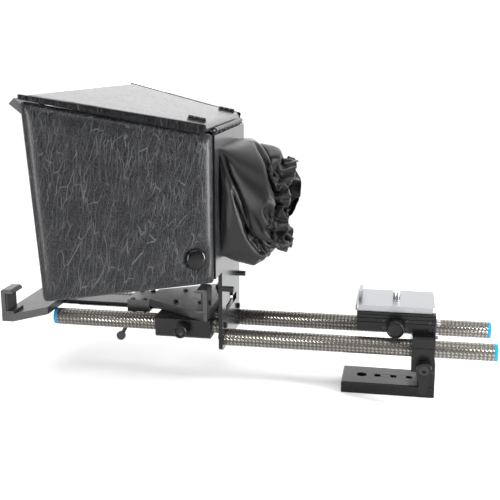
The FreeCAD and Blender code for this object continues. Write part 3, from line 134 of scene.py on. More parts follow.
class Shader:
    """One material. Its patterns lie in object space, which is the row frame in metres."""

    def __init__(self, name, **constants):
        self.material = bpy.data.materials.new(name)
        self.material.use_nodes = True
        self.tree = self.material.node_tree
        self.surface = self.tree.nodes["Principled BSDF"]
        self.at = self.node("ShaderNodeTexCoord").outputs["Object"]
        for socket, value in constants.items():
            self.surface.inputs[socket.replace("_", " ")].default_value = value

    def node(self, kind, inputs=None, **settings):
        item = self.tree.nodes.new(kind)
        for key, value in settings.items():
            setattr(item, key, value)
        for key, value in (inputs or {}).items():
            self.feed(item.inputs[key], value)
        return item

    def feed(self, socket, value):
        if isinstance(value, bpy.types.NodeSocket):
            self.tree.links.new(value, socket)
        else:
            socket.default_value = value

    def math(self, operation, first, second=0.0):
        inputs = {0: first, 1: second}
        return self.node("ShaderNodeMath", inputs, operation=operation).outputs[0]

    def blend(self, first, second, share):
        """A weighted sum of two heights."""
        return self.math("ADD", self.math("MULTIPLY", first, 1 - share), self.math("MULTIPLY", second, share))

    def vector(self, operation, first, second):
        inputs = {0: first, 1: second}
        return self.node("ShaderNodeVectorMath", inputs, operation=operation).outputs[0]

    def split(self, vector):
        return self.node("ShaderNodeSeparateXYZ", {0: vector}).outputs

    def stretched(self, x, y, z):
        return self.vector("MULTIPLY", self.at, (x, y, z))

    def warped(self, at, scale, amount):
        """The place moved about by a soft noise."""
        soft = self.node("ShaderNodeTexNoise", {"Vector": at, "Scale": scale, "Detail": 2.0})
        away = self.vector("SUBTRACT", soft.outputs["Color"], (0.5, 0.5, 0.5))
        return self.vector("ADD", at, self.vector("MULTIPLY", away, (amount, amount, amount)))

    def grain(self, scale, detail=3.0, at=None, roughness=0.5):
        """A cloudy noise from about 0.25 to 0.75, with scale features to a metre."""
        inputs = {"Vector": at or self.at, "Scale": scale, "Detail": detail, "Roughness": roughness}
        return self.node("ShaderNodeTexNoise", inputs).outputs["Fac"]

    def cracks(self, at):
        """How far a place is from the nearest wall of a net of cells, each about 1 wide."""
        inputs = {"Vector": at, "Scale": 1.0}
        cells = self.node("ShaderNodeTexVoronoi", inputs, feature="DISTANCE_TO_EDGE")
        return cells.outputs["Distance"]

    def span(self, value, low, high, to_low=0.0, to_high=1.0):
        """The value mapped from low..high, and held there, to another range."""
        inputs = {"Value": value, "From Min": low, "From Max": high, "To Min": to_low, "To Max": to_high}
        return self.node("ShaderNodeMapRange", inputs).outputs[0]

    def tint(self, factor, dark, light):
        """The base colour, from dark where the factor is 0 to light where it is 1."""
        ramp = self.node("ShaderNodeValToRGB", {"Fac": factor})
        ramp.color_ramp.elements[0].color = (*dark, 1.0)
        ramp.color_ramp.elements[1].color = (*light, 1.0)
        self.feed(self.surface.inputs["Base Color"], ramp.outputs["Color"])

    def roughness(self, factor, low, high):
        self.feed(self.surface.inputs["Roughness"], self.span(factor, *NOISE_RANGE, low, high))

    def bump(self, height, strength, distance, under_coat=False):
        """Relief in the surface and in its coat, or under a smooth coat."""
        inputs = {"Strength": strength, "Distance": distance, "Height": height}
        bump = self.node("ShaderNodeBump", inputs)
        self.feed(self.surface.inputs["Normal"], bump.outputs["Normal"])
        if self.surface.inputs["Coat Weight"].default_value > 0 and not under_coat:
            self.feed(self.surface.inputs["Coat Normal"], bump.outputs["Normal"])


# each net's fineness, its share of the lean, and its lines' width in cells and strength, which sets both the
# creases' lighter tint, a painted highlight, and their relief
CREASE_NETS = ((1.0, 1.0, 0.042, 0.75), (1.9, -1.5, 0.065, 0.4), (0.6, 3.5, 0.03, 1.0))


def leatherette(name, stretch, lean, level, coat, light):
    """Black creased leather cloth: long thin creases that start and stop, over a fine pebble.

    stretch is cells to a metre along each axis, lean turns the creases from upright, level is how
    much the surface reflects, coat how much its finish adds, and light the colour of a crease, a painted
    highlight.
    """
    shader = Shader(name, Specular_IOR_Level=level, Coat_Weight=coat, Coat_Roughness=0.3, Coat_IOR=1.6)
    wandering = shader.warped(shader.at, scale=40.0, amount=5.0 * MM)
    wandering = shader.warped(wandering, scale=260.0, amount=0.7 * MM)
    lines = None
    for size, share, width, strength in CREASE_NETS:
        turned = shader.node("ShaderNodeMapping", {"Vector": wandering, "Rotation": (share * lean, 0.0, 0.0)})
        at = shader.vector("MULTIPLY", turned.outputs[0], tuple(size * part for part in stretch))
        net = shader.span(shader.cracks(at), 0.0, width, to_low=strength, to_high=0.0)
        broken = shader.span(shader.grain(28.0 + 30.0 * size, detail=2.0), low=0.36, high=0.56)
        net = shader.math("MULTIPLY", net, broken)
        lines = net if lines is None else shader.math("MAXIMUM", lines, net)
    pebble = shader.span(shader.grain(820.0, detail=2.0), low=0.38, high=0.66)
    tone = shader.math("MAXIMUM", lines, shader.math("MULTIPLY", pebble, 0.26))
    # the creases are tinted lighter than the leather, a painted highlight, over the pebble's grain
    shader.tint(tone, dark=(0.0014, 0.0015, 0.0019), light=(light, light * 1.02, light * 1.1))
    shader.roughness(shader.grain(240.0), low=0.27, high=0.37)
    relief = shader.blend(lines, pebble, share=0.4)
    shader.bump(relief, strength=1.0, distance=0.4 * MM, under_coat=True)
    return shader.material


def lining():
    """The matt black flock inside the hood."""
    shader = Shader("hood_lining", Sheen_Weight=0.35, Specular_IOR_Level=0.2)
    pile = shader.grain(2600.0, detail=4.0)
    shader.tint(pile, dark=(0.006, 0.006, 0.007), light=(0.02, 0.02, 0.021))
    shader.roughness(pile, low=0.85, high=0.97)
    shader.bump(pile, strength=0.5, distance=0.2 * MM)
    return shader.material


def nylon():
    """Black satin nylon: a very fine weave and soft blotches of sheen."""
    shader = Shader("shroud_nylon", Specular_IOR_Level=0.27, Sheen_Weight=0.08, Sheen_Roughness=0.3)
    threads = 9000.0
    x, y, z = shader.split(shader.at)
    warp = shader.math("SINE", shader.math("MULTIPLY", y, threads))
    weft = shader.math("SINE", shader.math("MULTIPLY", shader.math("ADD", x, z), threads))
    weave = shader.math("MULTIPLY", warp, weft)
    creases = shader.grain(95.0, detail=4.0, at=shader.stretched(1.0, 0.5, 1.0), roughness=0.62)
    tone = shader.blend(creases, shader.grain(700.0), share=0.4)
    shader.tint(tone, dark=(0.0026, 0.0026, 0.0027), light=(0.0068, 0.0067, 0.0066))
    shader.roughness(creases, low=0.27, high=0.4)
    shader.bump(shader.blend(creases, weave, share=0.12), strength=0.35, distance=0.7 * MM)
    return shader.material


def carbon(name, centre):
    """A braid of flat tows round a tube along Y, under a clear coat."""
    shader = Shader(name, Coat_Weight=0.35, Coat_Roughness=0.16, Specular_IOR_Level=0.5)
    tows, pitch = 28.0, 1.68 * MM
    x, y, z = shader.split(shader.vector("SUBTRACT", shader.at, centre))
    around = shader.math("MULTIPLY", shader.math("ARCTAN2", z, x), tows / TURN)
    down = shader.math("DIVIDE", y, 2 * pitch)
    first = shader.math("ADD", shader.math("MULTIPLY", around, 0.5), down)
    second = shader.math("SUBTRACT", shader.math("MULTIPLY", around, 0.5), down)
    sides = []
    for tow in (first, second):
        sides.append(shader.math("ABSOLUTE", shader.math("SINE", shader.math("MULTIPLY", tow, math.pi))))
    parity = shader.math("ADD", shader.math("FLOOR", first), shader.math("FLOOR", second))
    over = shader.math("FLOORED_MODULO", parity, 2.0)
    up = shader.math("MULTIPLY", sides[0], over)
    sunk = shader.math("MULTIPLY", sides[1], 0.6)
    under = shader.math("MULTIPLY", sunk, shader.math("SUBTRACT", 1.0, over))
    height = shader.math("ADD", up, under)
    # painted glint and shade: the tows that lie over are tinted lighter, and the tone darkens towards each tow's
    # edges and on the sunk tows
    uneven = shader.blend(over, shader.grain(500.0), share=0.3)
    painted_glint_and_shade = shader.math("MULTIPLY", uneven, shader.math("ADD", height, 0.25))
    shader.tint(painted_glint_and_shade, dark=(0.0022, 0.0018, 0.0015), light=(0.215, 0.192, 0.162))
    shader.feed(shader.surface.inputs["Metallic"], shader.span(over, 0.0, 1.0, to_low=0.1, to_high=0.8))
    shader.roughness(over, low=0.5, high=0.2)
    shader.bump(height, strength=0.6, distance=0.3 * MM)
    return shader.material


def anodised(name, dark, light, low, high, level):
    """Bead-blasted and anodised aluminium, with faint rubbed patches, low to high rough."""
    shader = Shader(name, Specular_IOR_Level=level)
    blast = shader.grain(5200.0, detail=2.0)
    rubbed = shader.grain(38.0, detail=5.0, roughness=0.62)
    shader.tint(shader.blend(blast, rubbed, share=0.65), dark, light)
    shader.roughness(rubbed, low, high)
    shader.bump(blast, strength=0.16, distance=0.06 * MM)
    return shader.material


def moulded(name, dark, light, low, high):
    """Moulded black plastic with a spark-eroded grain."""
    shader = Shader(name, Specular_IOR_Level=0.5)
    spark = shader.grain(3100.0)
    wear = shader.grain(60.0, detail=4.0, roughness=0.6)
    shader.tint(shader.blend(spark, wear, share=0.6), dark, light)
    shader.roughness(wear, low, high)
    shader.bump(spark, strength=0.28, distance=0.09 * MM)
    return shader.material


def gloss(name, dark, light):
    """Polished plastic that shows a few soft smears, and hardly any relief."""
    shader = Shader(name, Specular_IOR_Level=0.2)
    smear = shader.grain(130.0)
    shader.tint(smear, dark, light)
    shader.roughness(smear, low=0.07, high=0.14)
    shader.bump(shader.grain(900.0), strength=0.05, distance=0.05 * MM)
    return shader.material


def rubber():
    """The matt pads of the tablet's claws."""
    shader = Shader("pad_rubber", Specular_IOR_Level=0.35)
    fine = shader.grain(1900.0, detail=4.0)
    shader.tint(fine, dark=(0.010, 0.010, 0.010), light=(0.028, 0.028, 0.027))
    shader.roughness(fine, low=0.62, high=0.8)
    shader.bump(fine, strength=0.4, distance=0.12 * MM)
    return shader.material


def machined(name, dark, light, low, high):
    """Machined metal with fine tool lines across Y."""
    shader = Shader(name, Metallic=1.0)
    lines = shader.grain(60.0, at=shader.stretched(4.0, 90.0, 4.0))
    shader.tint(lines, dark, light)
    shader.roughness(lines, low, high)
    shader.bump(lines, strength=0.12, distance=0.05 * MM)
    return shader.material


def splitter_glass():
    """Half-silvered glass: it reflects strongly and lets the rest through."""
    shader = Shader(
        "beam_splitter", Transmission_Weight=1.0, IOR=1.52,
        Coat_Weight=1.0, Coat_IOR=2.1, Coat_Roughness=0.01,
    )
    haze = shader.grain(25.0, detail=2.0)
    shader.tint(haze, dark=(0.80, 0.83, 0.85), light=(0.86, 0.89, 0.90))
    shader.roughness(haze, low=0.0, high=0.015)
    return shader.material


MATERIALS = {
    "black_leatherette": leatherette(
        "leatherette", stretch=(260.0, 260.0, 26.0), lean=0.1, level=0.09, coat=0.2, light=0.06,
    ),
    # a darker copy of the roof's leather, with darker creases, for the flaps and the roof's sideways faces:
    # painted shade
    "flap_leatherette_painted_shade": leatherette(
        "flap_leatherette_painted_shade", stretch=(260.0, 260.0, 33.0), lean=0.1, level=0.08, coat=0.0, light=0.02,
    ),
    "roof_leatherette": leatherette(
        "roof_leatherette", stretch=(150.0, 90.0, 150.0), lean=0.1, level=0.4, coat=0.33, light=0.05,
    ),
    "hood_lining": lining(),
    "black_nylon": nylon(),
    "black_anodised": anodised(
        "anodised_black", (0.0026, 0.0027, 0.003), (0.007, 0.0071, 0.0077), low=0.22, high=0.32, level=0.2,
    ),
    # a lighter copy of the black anodising for the lens plate's broad faces: its lighter colour is a painted sheen
    "plate_anodised_painted_sheen": anodised(
        "anodised_plate_painted_sheen", (0.010, 0.011, 0.012), (0.028, 0.029, 0.033), low=0.18, high=0.26, level=1.0,
    ),
    "silver_aluminium": machined(
        "aluminium_silver", (0.22, 0.225, 0.235), (0.36, 0.365, 0.38), low=0.32, high=0.45,
    ),
    "black_plastic": moulded(
        "plastic_black", (0.006, 0.006, 0.0065), (0.017, 0.017, 0.018), low=0.28, high=0.4,
    ),
    "gloss_black_plastic": gloss("plastic_gloss", (0.003, 0.003, 0.003), (0.006, 0.006, 0.007)),
    "blue_plastic": gloss("plastic_blue", (0.003, 0.13, 0.30), (0.005, 0.23, 0.43)),
    "black_rubber": rubber(),
    "black_steel": machined("steel_black", (0.02, 0.02, 0.021), (0.06, 0.06, 0.062), low=0.3, high=0.42),
    "bright_steel": machined("steel_bright", (0.42, 0.42, 0.43), (0.62, 0.62, 0.63), low=0.2, high=0.34),
    "beam_splitter_glass": splitter_glass(),
}


# ---------------------------------------------------------------- mesh helpers

WELD_WITHIN = 0.004 * MM
SHARP_CAD_EDGE = math.radians(38)


def middle(node):
    low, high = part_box(node)
    return (low + high) / 2


def add_piece(name, vertices, faces, material, body, replaced):
    """A new smooth-shaded piece that rides on a body and stands for CAD nodes."""
    mesh = bpy.data.meshes.new(name)
    mesh.from_pydata([tuple(v) for v in vertices], [], faces)
    mesh.validate()
    mesh.materials.append(MATERIALS[material])
    mesh.polygons.foreach_set("use_smooth", [True] * len(mesh.polygons))
    piece = bpy.data.objects.new(name, mesh)
    bpy.context.scene.collection.objects.link(piece)
    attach(piece, body)
    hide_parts(*replaced)
    return piece


def face_outwards(mesh, merge_within=0.0):
    """Turns every face outwards, after merging the vertices that lie within a distance."""
    shape = bmesh.new()
    shape.from_mesh(mesh)
    if merge_within:
        bmesh.ops.remove_doubles(shape, verts=shape.verts, dist=merge_within)
    bmesh.ops.recalc_face_normals(shape, faces=shape.faces)
    shape.to_mesh(mesh)
    shape.free()


def add_modifier(piece, kind, **settings):
    modifier = piece.modifiers.new(kind.lower(), kind)
    for key, value in settings.items():
        setattr(modifier, key, value)
    return modifier


def body_of(node):
    for body, members in frame["record"]["behaviour"]["bodies"].items():
        if node in members:
            return body


def repaint(piece, material, chosen):
    """Gives another material to the faces whose normals are chosen."""
    piece.data.materials.append(MATERIALS[material])
    index = len(piece.data.materials) - 1
    for polygon in piece.data.polygons:
        if chosen(polygon.normal):
            polygon.material_index = index


def dress(node, material, edge):
    """Gives a CAD node its material, and lets light catch on its broken edges."""
    piece = nodes[node]
    piece.data.materials.clear()
    piece.data.materials.append(MATERIALS[material])
    for polygon in piece.data.polygons:
        polygon.material_index = 0
    if edge:
        add_modifier(piece, "WELD", merge_threshold=WELD_WITHIN)
        add_modifier(
            piece, "BEVEL", width=edge, segments=2, limit_method="ANGLE", angle_limit=SHARP_CAD_EDGE,
            harden_normals=True, use_clamp_overlap=True,
        )


# ---------------------------------------------------------------- hood panels

CORNER_REACH = 1.5 * MM
INNER_ROLL = 0.6 * MM
SEAM = 0.01 * MM
PADDING = 2.4 * MM
SIDE_EDGE = 12.0 * MM
SIDE_CORNER = 3.5 * MM
ROOF_EDGE = 6.0 * MM
ROOF_CORNER = 6.0 * MM
FLAP_EDGE = 0.8 * MM
FLAP_CORNER = 1.4 * MM
SIDE_STEP = 1.6 * MM
ROOF_STEP = 2.0 * MM
LOOKS_BACK = 0.8
NEARLY_UPRIGHT = 0.5
FACES_INWARD = 0.95
ROLLED_OVER = 0.3


def plane_of(node, outward):
    """The node's inner face: a point on it, its in-plane axes (level, then upward) and the way out."""
    mesh = nodes[node].data
    looking_back = [face for face in mesh.polygons if face.normal.dot(outward) < -LOOKS_BACK]
    inner = max(looking_back, key=lambda face: face.area)
    normal = -inner.normal
    level = UP.cross(normal) if abs(normal.z) < NEARLY_UPRIGHT else Vector((1, 0, 0))
    level.normalize()
    return inner.center.copy(), level, normal.cross(level).normalized(), normal


def outline_of(node, centre, level, rise, normal):
    """The node's four corners in its plane, and how thick it is at each of them."""
    offsets = [v.co - centre for v in nodes[node].data.vertices]
    flat = [(p.dot(level), p.dot(rise)) for p in offsets]
    depth = [p.dot(normal) for p in offsets]
    span = [max(p[i] for p in flat) - min(p[i] for p in flat) for i in (0, 1)]
    corners, thickness = [], []
    for sx, sy in ((-1, -1), (1, -1), (1, 1), (-1, 1)):
        corner = max(flat, key=lambda p: sx * p[0] / span[0] + sy * p[1] / span[1])
        near = [deep for p, deep in zip(flat, depth) if math.dist(p, corner) < CORNER_REACH]
        corners.append(corner)
        thickness.append(max(near))
    return corners, thickness


def spaced(length, edge, step):
    """Stations along a side: close together over the rounded edge, even between."""
    rounds = [edge * (1 - math.cos(math.radians(angle))) for angle in range(0, 91, 18)]
    count = max(2, round((length - 2 * edge) / step))
    even = [edge + (length - 2 * edge) * i / count for i in range(1, count)]
    return rounds + even + [length - r for r in reversed(rounds)]


def round_corner(x, y, length, height, radius):
    """Moves a point of a rectangle so that its corners become quarter circles."""
    dx = min(x, length - x)
    dy = min(y, height - y)
    if dx >= radius or dy >= radius:
        return x, y
    px, py = 1 - dx / radius, 1 - dy / radius
    nx, ny = px * math.sqrt(1 - py * py / 2), py * math.sqrt(1 - px * px / 2)
    dx, dy = radius * (1 - nx), radius * (1 - ny)
    return (dx if x < length / 2 else length - dx), (dy if y < height / 2 else height - dy)


def across_quad(corners, a, b):
    """Between four corner values, a of the way along and b of the way up."""
    low = corners[0] * (1 - a) + corners[1] * a
    high = corners[3] * (1 - a) + corners[2] * a
    return low * (1 - b) + high * b


def from_the_edge(x, y, px, py, length, height, corner):
    """How far a place is from the outline, where rounding the corners moves it from (x, y) to (px, py)."""
    if min(x, length - x) < corner and min(y, height - y) < corner:
        reach = Vector((corner - min(px, length - px), corner - min(py, height - py)))
        return corner - reach.length
    return min(x, length - x, y, height - y)


def two_sheets(columns, rows):
    """The faces of two grids of vertices, one after the other, that look away from each other."""
    faces = []
    for back in (False, True):
        start = columns * rows if back else 0
        for row in range(rows - 1):
            for column in range(columns - 1):
                a = start + row * columns + column
                quad = (a, a + 1, a + columns + 1, a + columns)
                faces.append(quad[::-1] if back else quad)
    return faces


def padded_panel(name, node, outward, material, edge, corner, step, relief, padding=0.0, lined=False):
    """A board wrapped in leatherette: its outside rolls off towards every edge, its inside is flat.

    relief(point) gives the outer face's height above flat, in metres, at a place in the row frame.
    edge is the width of the roll-off, corner the radius of the corners, step the size of the mesh,
    and padding how far the outer face stands out beyond the board.
    """
    centre, level, rise, normal = plane_of(node, outward)
    corners, thickness = outline_of(node, centre, level, rise, normal)
    sides = [Vector(flat) for flat in corners]
    length = ((sides[1] - sides[0]).length + (sides[2] - sides[3]).length) / 2
    height = ((sides[3] - sides[0]).length + (sides[2] - sides[1]).length) / 2
    across, up = spaced(length, edge, step), spaced(height, edge, step)
    vertices = []
    for back in (False, True):
        for y in up:
            for x in across:
                px, py = round_corner(x, y, length, height, corner)
                near = from_the_edge(x, y, px, py, length, height, corner)
                a, b = px / length, py / height
                flat = across_quad(sides, a, b)
                thick = across_quad(thickness, a, b)
                inside = min(INNER_ROLL, thick / 3)
                fall = max(0.0, 1 - near / edge)
                roll = 1 - math.sqrt(max(0.0, 1 - fall * fall))
                point = centre + level * flat.x + rise * flat.y
                if back:
                    lift = inside * roll
                else:
                    full = thick + padding
                    lift = full - (full - inside) * roll + relief(point) * min(1.0, near / edge)
                vertices.append(point + normal * lift)
    faces = two_sheets(len(across), len(up))
    piece = add_piece(name, vertices, faces, material, body_of(node), (node,))
    face_outwards(piece.data, SEAM)
    if lined:
        repaint(piece, "hood_lining", lambda facing: facing.dot(normal) < -FACES_INWARD)
    return piece


def puckers(knob_centre):
    """Leather drawn in towards the knob in rays that fade with distance, soft swells, and creases."""
    lobes, reach, fade = 13, 34 * MM, 1.6
    ray_height, knob_rim = 0.22 * MM, 9 * MM
    dimple_radius = 13 * MM
    swells_to_metre, swell_height = 22.0, 0.25 * MM
    wanders_to_metre, wander_angle = 60.0, 1.5
    across_creases, along_creases = 90, 34
    crease_share, crease_depth = 0.2, 0.28 * MM

    def relief(point):
        away = point - knob_centre
        distance = away.length
        angle = math.atan2(away.z, away.y)
        wander = noise.noise(point * wanders_to_metre) * wander_angle
        ray = math.sin(lobes * angle + wander) * math.exp(-distance / reach * fade)
        dimple = -PADDING * math.exp(-(distance / dimple_radius) ** 4)
        swell = noise.noise(point * swells_to_metre) * swell_height
        upright = Vector((point.x * across_creases, point.y * across_creases, point.z * along_creases))
        crease = (abs(noise.noise(upright)) - crease_share) * crease_depth
        return ray_height * ray * min(1.0, distance / knob_rim) + dimple + swell - crease

    return relief


def waves(point):
    """Broad and fine waves in the leather of the roof."""
    broad, fine = 0.35, 0.08
    return noise.noise(point * 16.0) * broad * MM + noise.noise(point * 70.0) * fine * MM


def smooth(point):
    return 0.0


def build_hood():
    for side, sign in (("left", 1), ("right", -1)):
        outward = Vector((sign, 0, 0))
        knob = Vector(joints["glass_lock_" + side + "_turn"]["pos_m"])
        padded_panel(
            "hood_panel_" + side, "hood_side_" + side, outward, "black_leatherette",
            SIDE_EDGE, SIDE_CORNER, SIDE_STEP, puckers(knob), padding=PADDING, lined=True,
        )
        # the flaps take the darker copy of the roof's leather: painted shade
        padded_panel(
            "roof_flap_" + side, "hood_flap_" + side, outward, "flap_leatherette_painted_shade",
            FLAP_EDGE, FLAP_CORNER, ROOF_STEP, smooth,
        )
    roof = padded_panel(
        "roof_panel", "hood_top", UP, "roof_leatherette",
        ROOF_EDGE, ROOF_CORNER, ROOF_STEP, waves, lined=True,
    )
    # the roof's faces that turn sideways take the darker copy of its leather: painted shade
    repaint(roof, "flap_leatherette_painted_shade", lambda facing: abs(facing.x) > ROLLED_OVER)


# ---------------------------------------------------------------- lens shroud

RETAINER_WIDTH = 4.5 * MM
WINDOW_CORNER = 5 * MM
SEWN_INSIDE = 2.5 * MM
SEWN_ROWS = 2
CLEAR_OF_PLATE = 0.5 * MM
SHROUD_COLUMNS = 176
SHROUD_ROWS = 40
FRILL_ROWS = 6
SHROUD_TO_ELASTIC = 79 * MM
SHROUD_FRILL = 13 * MM
FRILL_SHARE = 0.92
SHROUD_CLOTH = 0.5 * MM
ELASTIC_RADIUS = 36.8 * MM
PLEATS = 17
PLEAT_DEPTH = 3.1 * MM
MOUTH_TWIST = math.radians(-24)
MOUTH_LEAN = 0.07
SIM_SCALE = 10.0
SIM_FRAMES = 60
CLOSING_FRAMES = 26
CLOTH = {
    "quality": 6,
    "mass": 0.025,
    "tension_stiffness": 25,
    "compression_stiffness": 12,
    "shear_stiffness": 6,
    "bending_stiffness": 1.5,
    "tension_damping": 8,
    "compression_damping": 8,
    "shear_damping": 5,
    "bending_damping": 0.5,
    "air_damping": 2.0,
    "use_pressure": True,
    "uniform_pressure_force": 0.5,
}
CLOTH_GRAVITY = 0.75
CLOTH_SELF_DISTANCE = 0.006


def rounded_ring(half_x, half_z, corner, count):
    """Evenly spaced points round a rectangle with round corners, from +X anticlockwise."""
    cx, cz = half_x - corner, half_z - corner
    corner_steps = 8
    points = []
    for index, (sx, sz) in enumerate(((1, 1), (-1, 1), (-1, -1), (1, -1))):
        turn = index * math.pi / 2
        for step in range(corner_steps + 1):
            angle = turn + math.pi / 2 * step / corner_steps
            points.append((sx * cx + corner * math.cos(angle), sz * cz + corner * math.sin(angle)))
    points.append(points[0])
    line = np.array(points)
    steps = np.hypot(*(line[1:] - line[:-1]).T)
    along = np.concatenate([[0], np.cumsum(steps)])
    wanted = np.linspace(0, along[-1], count, endpoint=False)
    ring = np.stack([np.interp(wanted, along, line[:, i]) for i in (0, 1)], axis=1)
    return ring, along[-1]


def shroud_rings():
    """The cut tube, straight back from the window; the ring its elastic closes to; the tube's girth."""
    low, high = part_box("shroud_retainer")
    inset = Vector((1, 0, 1)) * RETAINER_WIDTH
    window_low, window_high = low + inset, high - inset
    tunnel = openings["lens_tunnel"]
    lens_z = (tunnel[0][2] + tunnel[1][2]) / 2
    mouth_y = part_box("lens_shroud")[1].y - SHROUD_FRILL * FRILL_SHARE
    mid_z = (window_low.z + window_high.z) / 2
    half_x, half_z = (window_high.x - window_low.x) / 2, (window_high.z - window_low.z) / 2
    ring, around = rounded_ring(half_x, half_z, WINDOW_CORNER, SHROUD_COLUMNS)
    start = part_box("lens_plate")[1].y - SEWN_INSIDE
    tube, elastic = [], []
    for row in range(SHROUD_ROWS + FRILL_ROWS + 1):
        part = min(1.0, row / SHROUD_ROWS)
        beyond = max(0, row - SHROUD_ROWS) / FRILL_ROWS
        depth = part * SHROUD_TO_ELASTIC + beyond * SHROUD_FRILL
        tube += [(x, start + depth, mid_z + z) for x, z in ring]
    # slow waves round the mouth, so that no two pleats are alike
    for column, (x, z) in enumerate(ring):
        angle = math.atan2(z, x) + MOUTH_TWIST
        share = column / SHROUD_COLUMNS
        uneven = 0.8 * math.sin(3 * TURN * share + 1.0) + 0.5 * math.sin(7 * TURN * share + 2.2)
        wave = math.cos(TURN * PLEATS * share + uneven)
        spread = 1.0 + 0.35 * math.sin(5 * TURN * share + 0.6)
        radius = ELASTIC_RADIUS + PLEAT_DEPTH * spread * wave
        rise = radius * math.sin(angle)
        elastic.append(Vector((radius * math.cos(angle), mouth_y + MOUTH_LEAN * rise, lens_z + rise)))
    return tube, elastic, around


def tube_faces(rows):
    """Quads that face out of the tube, as the cloth's pressure needs."""
    faces = []
    for row in range(rows):
        for column in range(SHROUD_COLUMNS):
            following = (column + 1) % SHROUD_COLUMNS
            a, b = row * SHROUD_COLUMNS + column, row * SHROUD_COLUMNS + following
            faces.append((a, a + SHROUD_COLUMNS, b + SHROUD_COLUMNS, b))
    return faces


def cut_shroud(tube, elastic, faces):
    """The straight tube, SIM_SCALE times as large as life, with a shape key that closes its elastic."""
    mesh = bpy.data.meshes.new("shroud_cut")
    mesh.from_pydata([tuple(Vector(place) * SIM_SCALE) for place in tube], [], faces)
    cut = bpy.data.objects.new("shroud_cut", mesh)
    bpy.context.scene.collection.objects.link(cut)
    sewn = list(range(SHROUD_COLUMNS * SEWN_ROWS))
    first = SHROUD_ROWS * SHROUD_COLUMNS
    gathered = list(range(first, first + SHROUD_COLUMNS))
    cut.vertex_groups.new(name="held").add(sewn + gathered, 1.0, "REPLACE")
    cut.shape_key_add(name="Basis")
    closed = cut.shape_key_add(name="closed")
    for index, place in zip(gathered, elastic):
        closed.data[index].co = place * SIM_SCALE
    closed.value = 0.0
    closed.keyframe_insert("value", frame=1)
    closed.value = 1.0
    closed.keyframe_insert("value", frame=CLOSING_FRAMES)
    return cut


def settle(cut):
    """Runs Blender's cloth while the elastic closes, and returns where each vertex comes to rest."""
    modifier = cut.modifiers.new("cloth", "CLOTH")
    for setting, value in CLOTH.items():
        setattr(modifier.settings, setting, value)
    modifier.settings.vertex_group_mass = "held"
    modifier.settings.effector_weights.gravity = CLOTH_GRAVITY
    modifier.collision_settings.use_collision = False
    modifier.collision_settings.use_self_collision = True
    modifier.collision_settings.self_distance_min = CLOTH_SELF_DISTANCE
    modifier.point_cache.frame_start = 1
    modifier.point_cache.frame_end = SIM_FRAMES
    for step in range(1, SIM_FRAMES + 1):
        bpy.context.scene.frame_set(step)
    shown = cut.evaluated_get(bpy.context.evaluated_depsgraph_get())
    settled = [v.co / SIM_SCALE for v in shown.data.vertices]
    bpy.context.scene.frame_set(1)
    return settled


def discard(cut):
    """Removes the simulated tube with its mesh and its animation, which the part doesn't need."""
    mesh = cut.data
    action = mesh.shape_keys.animation_data.action
    bpy.data.objects.remove(cut)
    bpy.data.meshes.remove(mesh)
    bpy.data.actions.remove(action)


def build_shroud():
    tube, elastic, around = shroud_rings()
    faces = tube_faces(SHROUD_ROWS + FRILL_ROWS)
    cut = cut_shroud(tube, elastic, faces)
    places = settle(cut)
    discard(cut)
    plate_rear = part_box("lens_plate")[1].y
    low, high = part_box("shroud_retainer")
    for place in places[SEWN_ROWS * SHROUD_COLUMNS:]:
        through_window = (
            low.x + RETAINER_WIDTH < place.x < high.x - RETAINER_WIDTH
            and low.z + RETAINER_WIDTH < place.z < high.z - RETAINER_WIDTH
        )
        if not through_window:
            place.y = max(place.y, plate_rear + CLEAR_OF_PLATE)
    sock = add_piece("shroud_sock", places, faces, "black_nylon", "rig", ("lens_shroud",))
    face_outwards(sock.data)
    add_modifier(sock, "SUBSURF", levels=1, render_levels=1)
    add_modifier(sock, "SOLIDIFY", thickness=SHROUD_CLOTH, offset=0.0)


# ---------------------------------------------------------------- turned and knurled pieces

ROUND_SEGMENTS = 96
POINTS_PER_TOOTH = 6
BROKEN_EDGE = 0.12 * MM
SHARP_TURNED_EDGE = math.radians(40)
AXIS_RADIUS = 0.001 * MM
SHANK_RADIUS = 2.5 * MM
KNURL_DEPTH = 0.55 * MM
KNURL_SHARPNESS = 1.5
BASE_KNOB_TEETH = 34
CARRIAGE_KNOB_TEETH = 28


def turned_piece(name, profile, teeth, placing, material, body, replaced):
    """A piece turned about +Z. Each profile entry is (radius, height, depth of its knurl)."""
    count = teeth * POINTS_PER_TOOTH or ROUND_SEGMENTS
    vertices, faces = [], []
    for radius, height, depth in profile:
        for step in range(count):
            angle = TURN * step / count
            bite = depth * (0.5 + 0.5 * math.cos(angle * teeth)) ** KNURL_SHARPNESS if depth else 0.0
            reach = max(radius - bite, AXIS_RADIUS)
            vertices.append(placing @ Vector((reach * math.cos(angle), reach * math.sin(angle), height)))
    for ring in range(len(profile) - 1):
        for step in range(count):
            following = (step + 1) % count
            a, b = ring * count + step, ring * count + following
            faces.append((a, b, b + count, a + count))
    faces.append(tuple(reversed(range(count))))
    last = (len(profile) - 1) * count
    faces.append(tuple(range(last, last + count)))
    piece = add_piece(name, vertices, faces, material, body, replaced)
    face_outwards(piece.data)
    add_modifier(
        piece, "BEVEL", width=BROKEN_EDGE, segments=2, limit_method="ANGLE", angle_limit=SHARP_TURNED_EDGE,
        harden_normals=True,
    )


def placed_on(joint):
    """The frame of a joint: its own +Z along the axis, at the joint's place."""
    axis = Vector(joints[joint]["axis"])
    turn = axis.to_track_quat("Z", "Y").to_matrix().to_4x4()
    return Matrix.Translation(Vector(joints[joint]["pos_m"])) @ turn


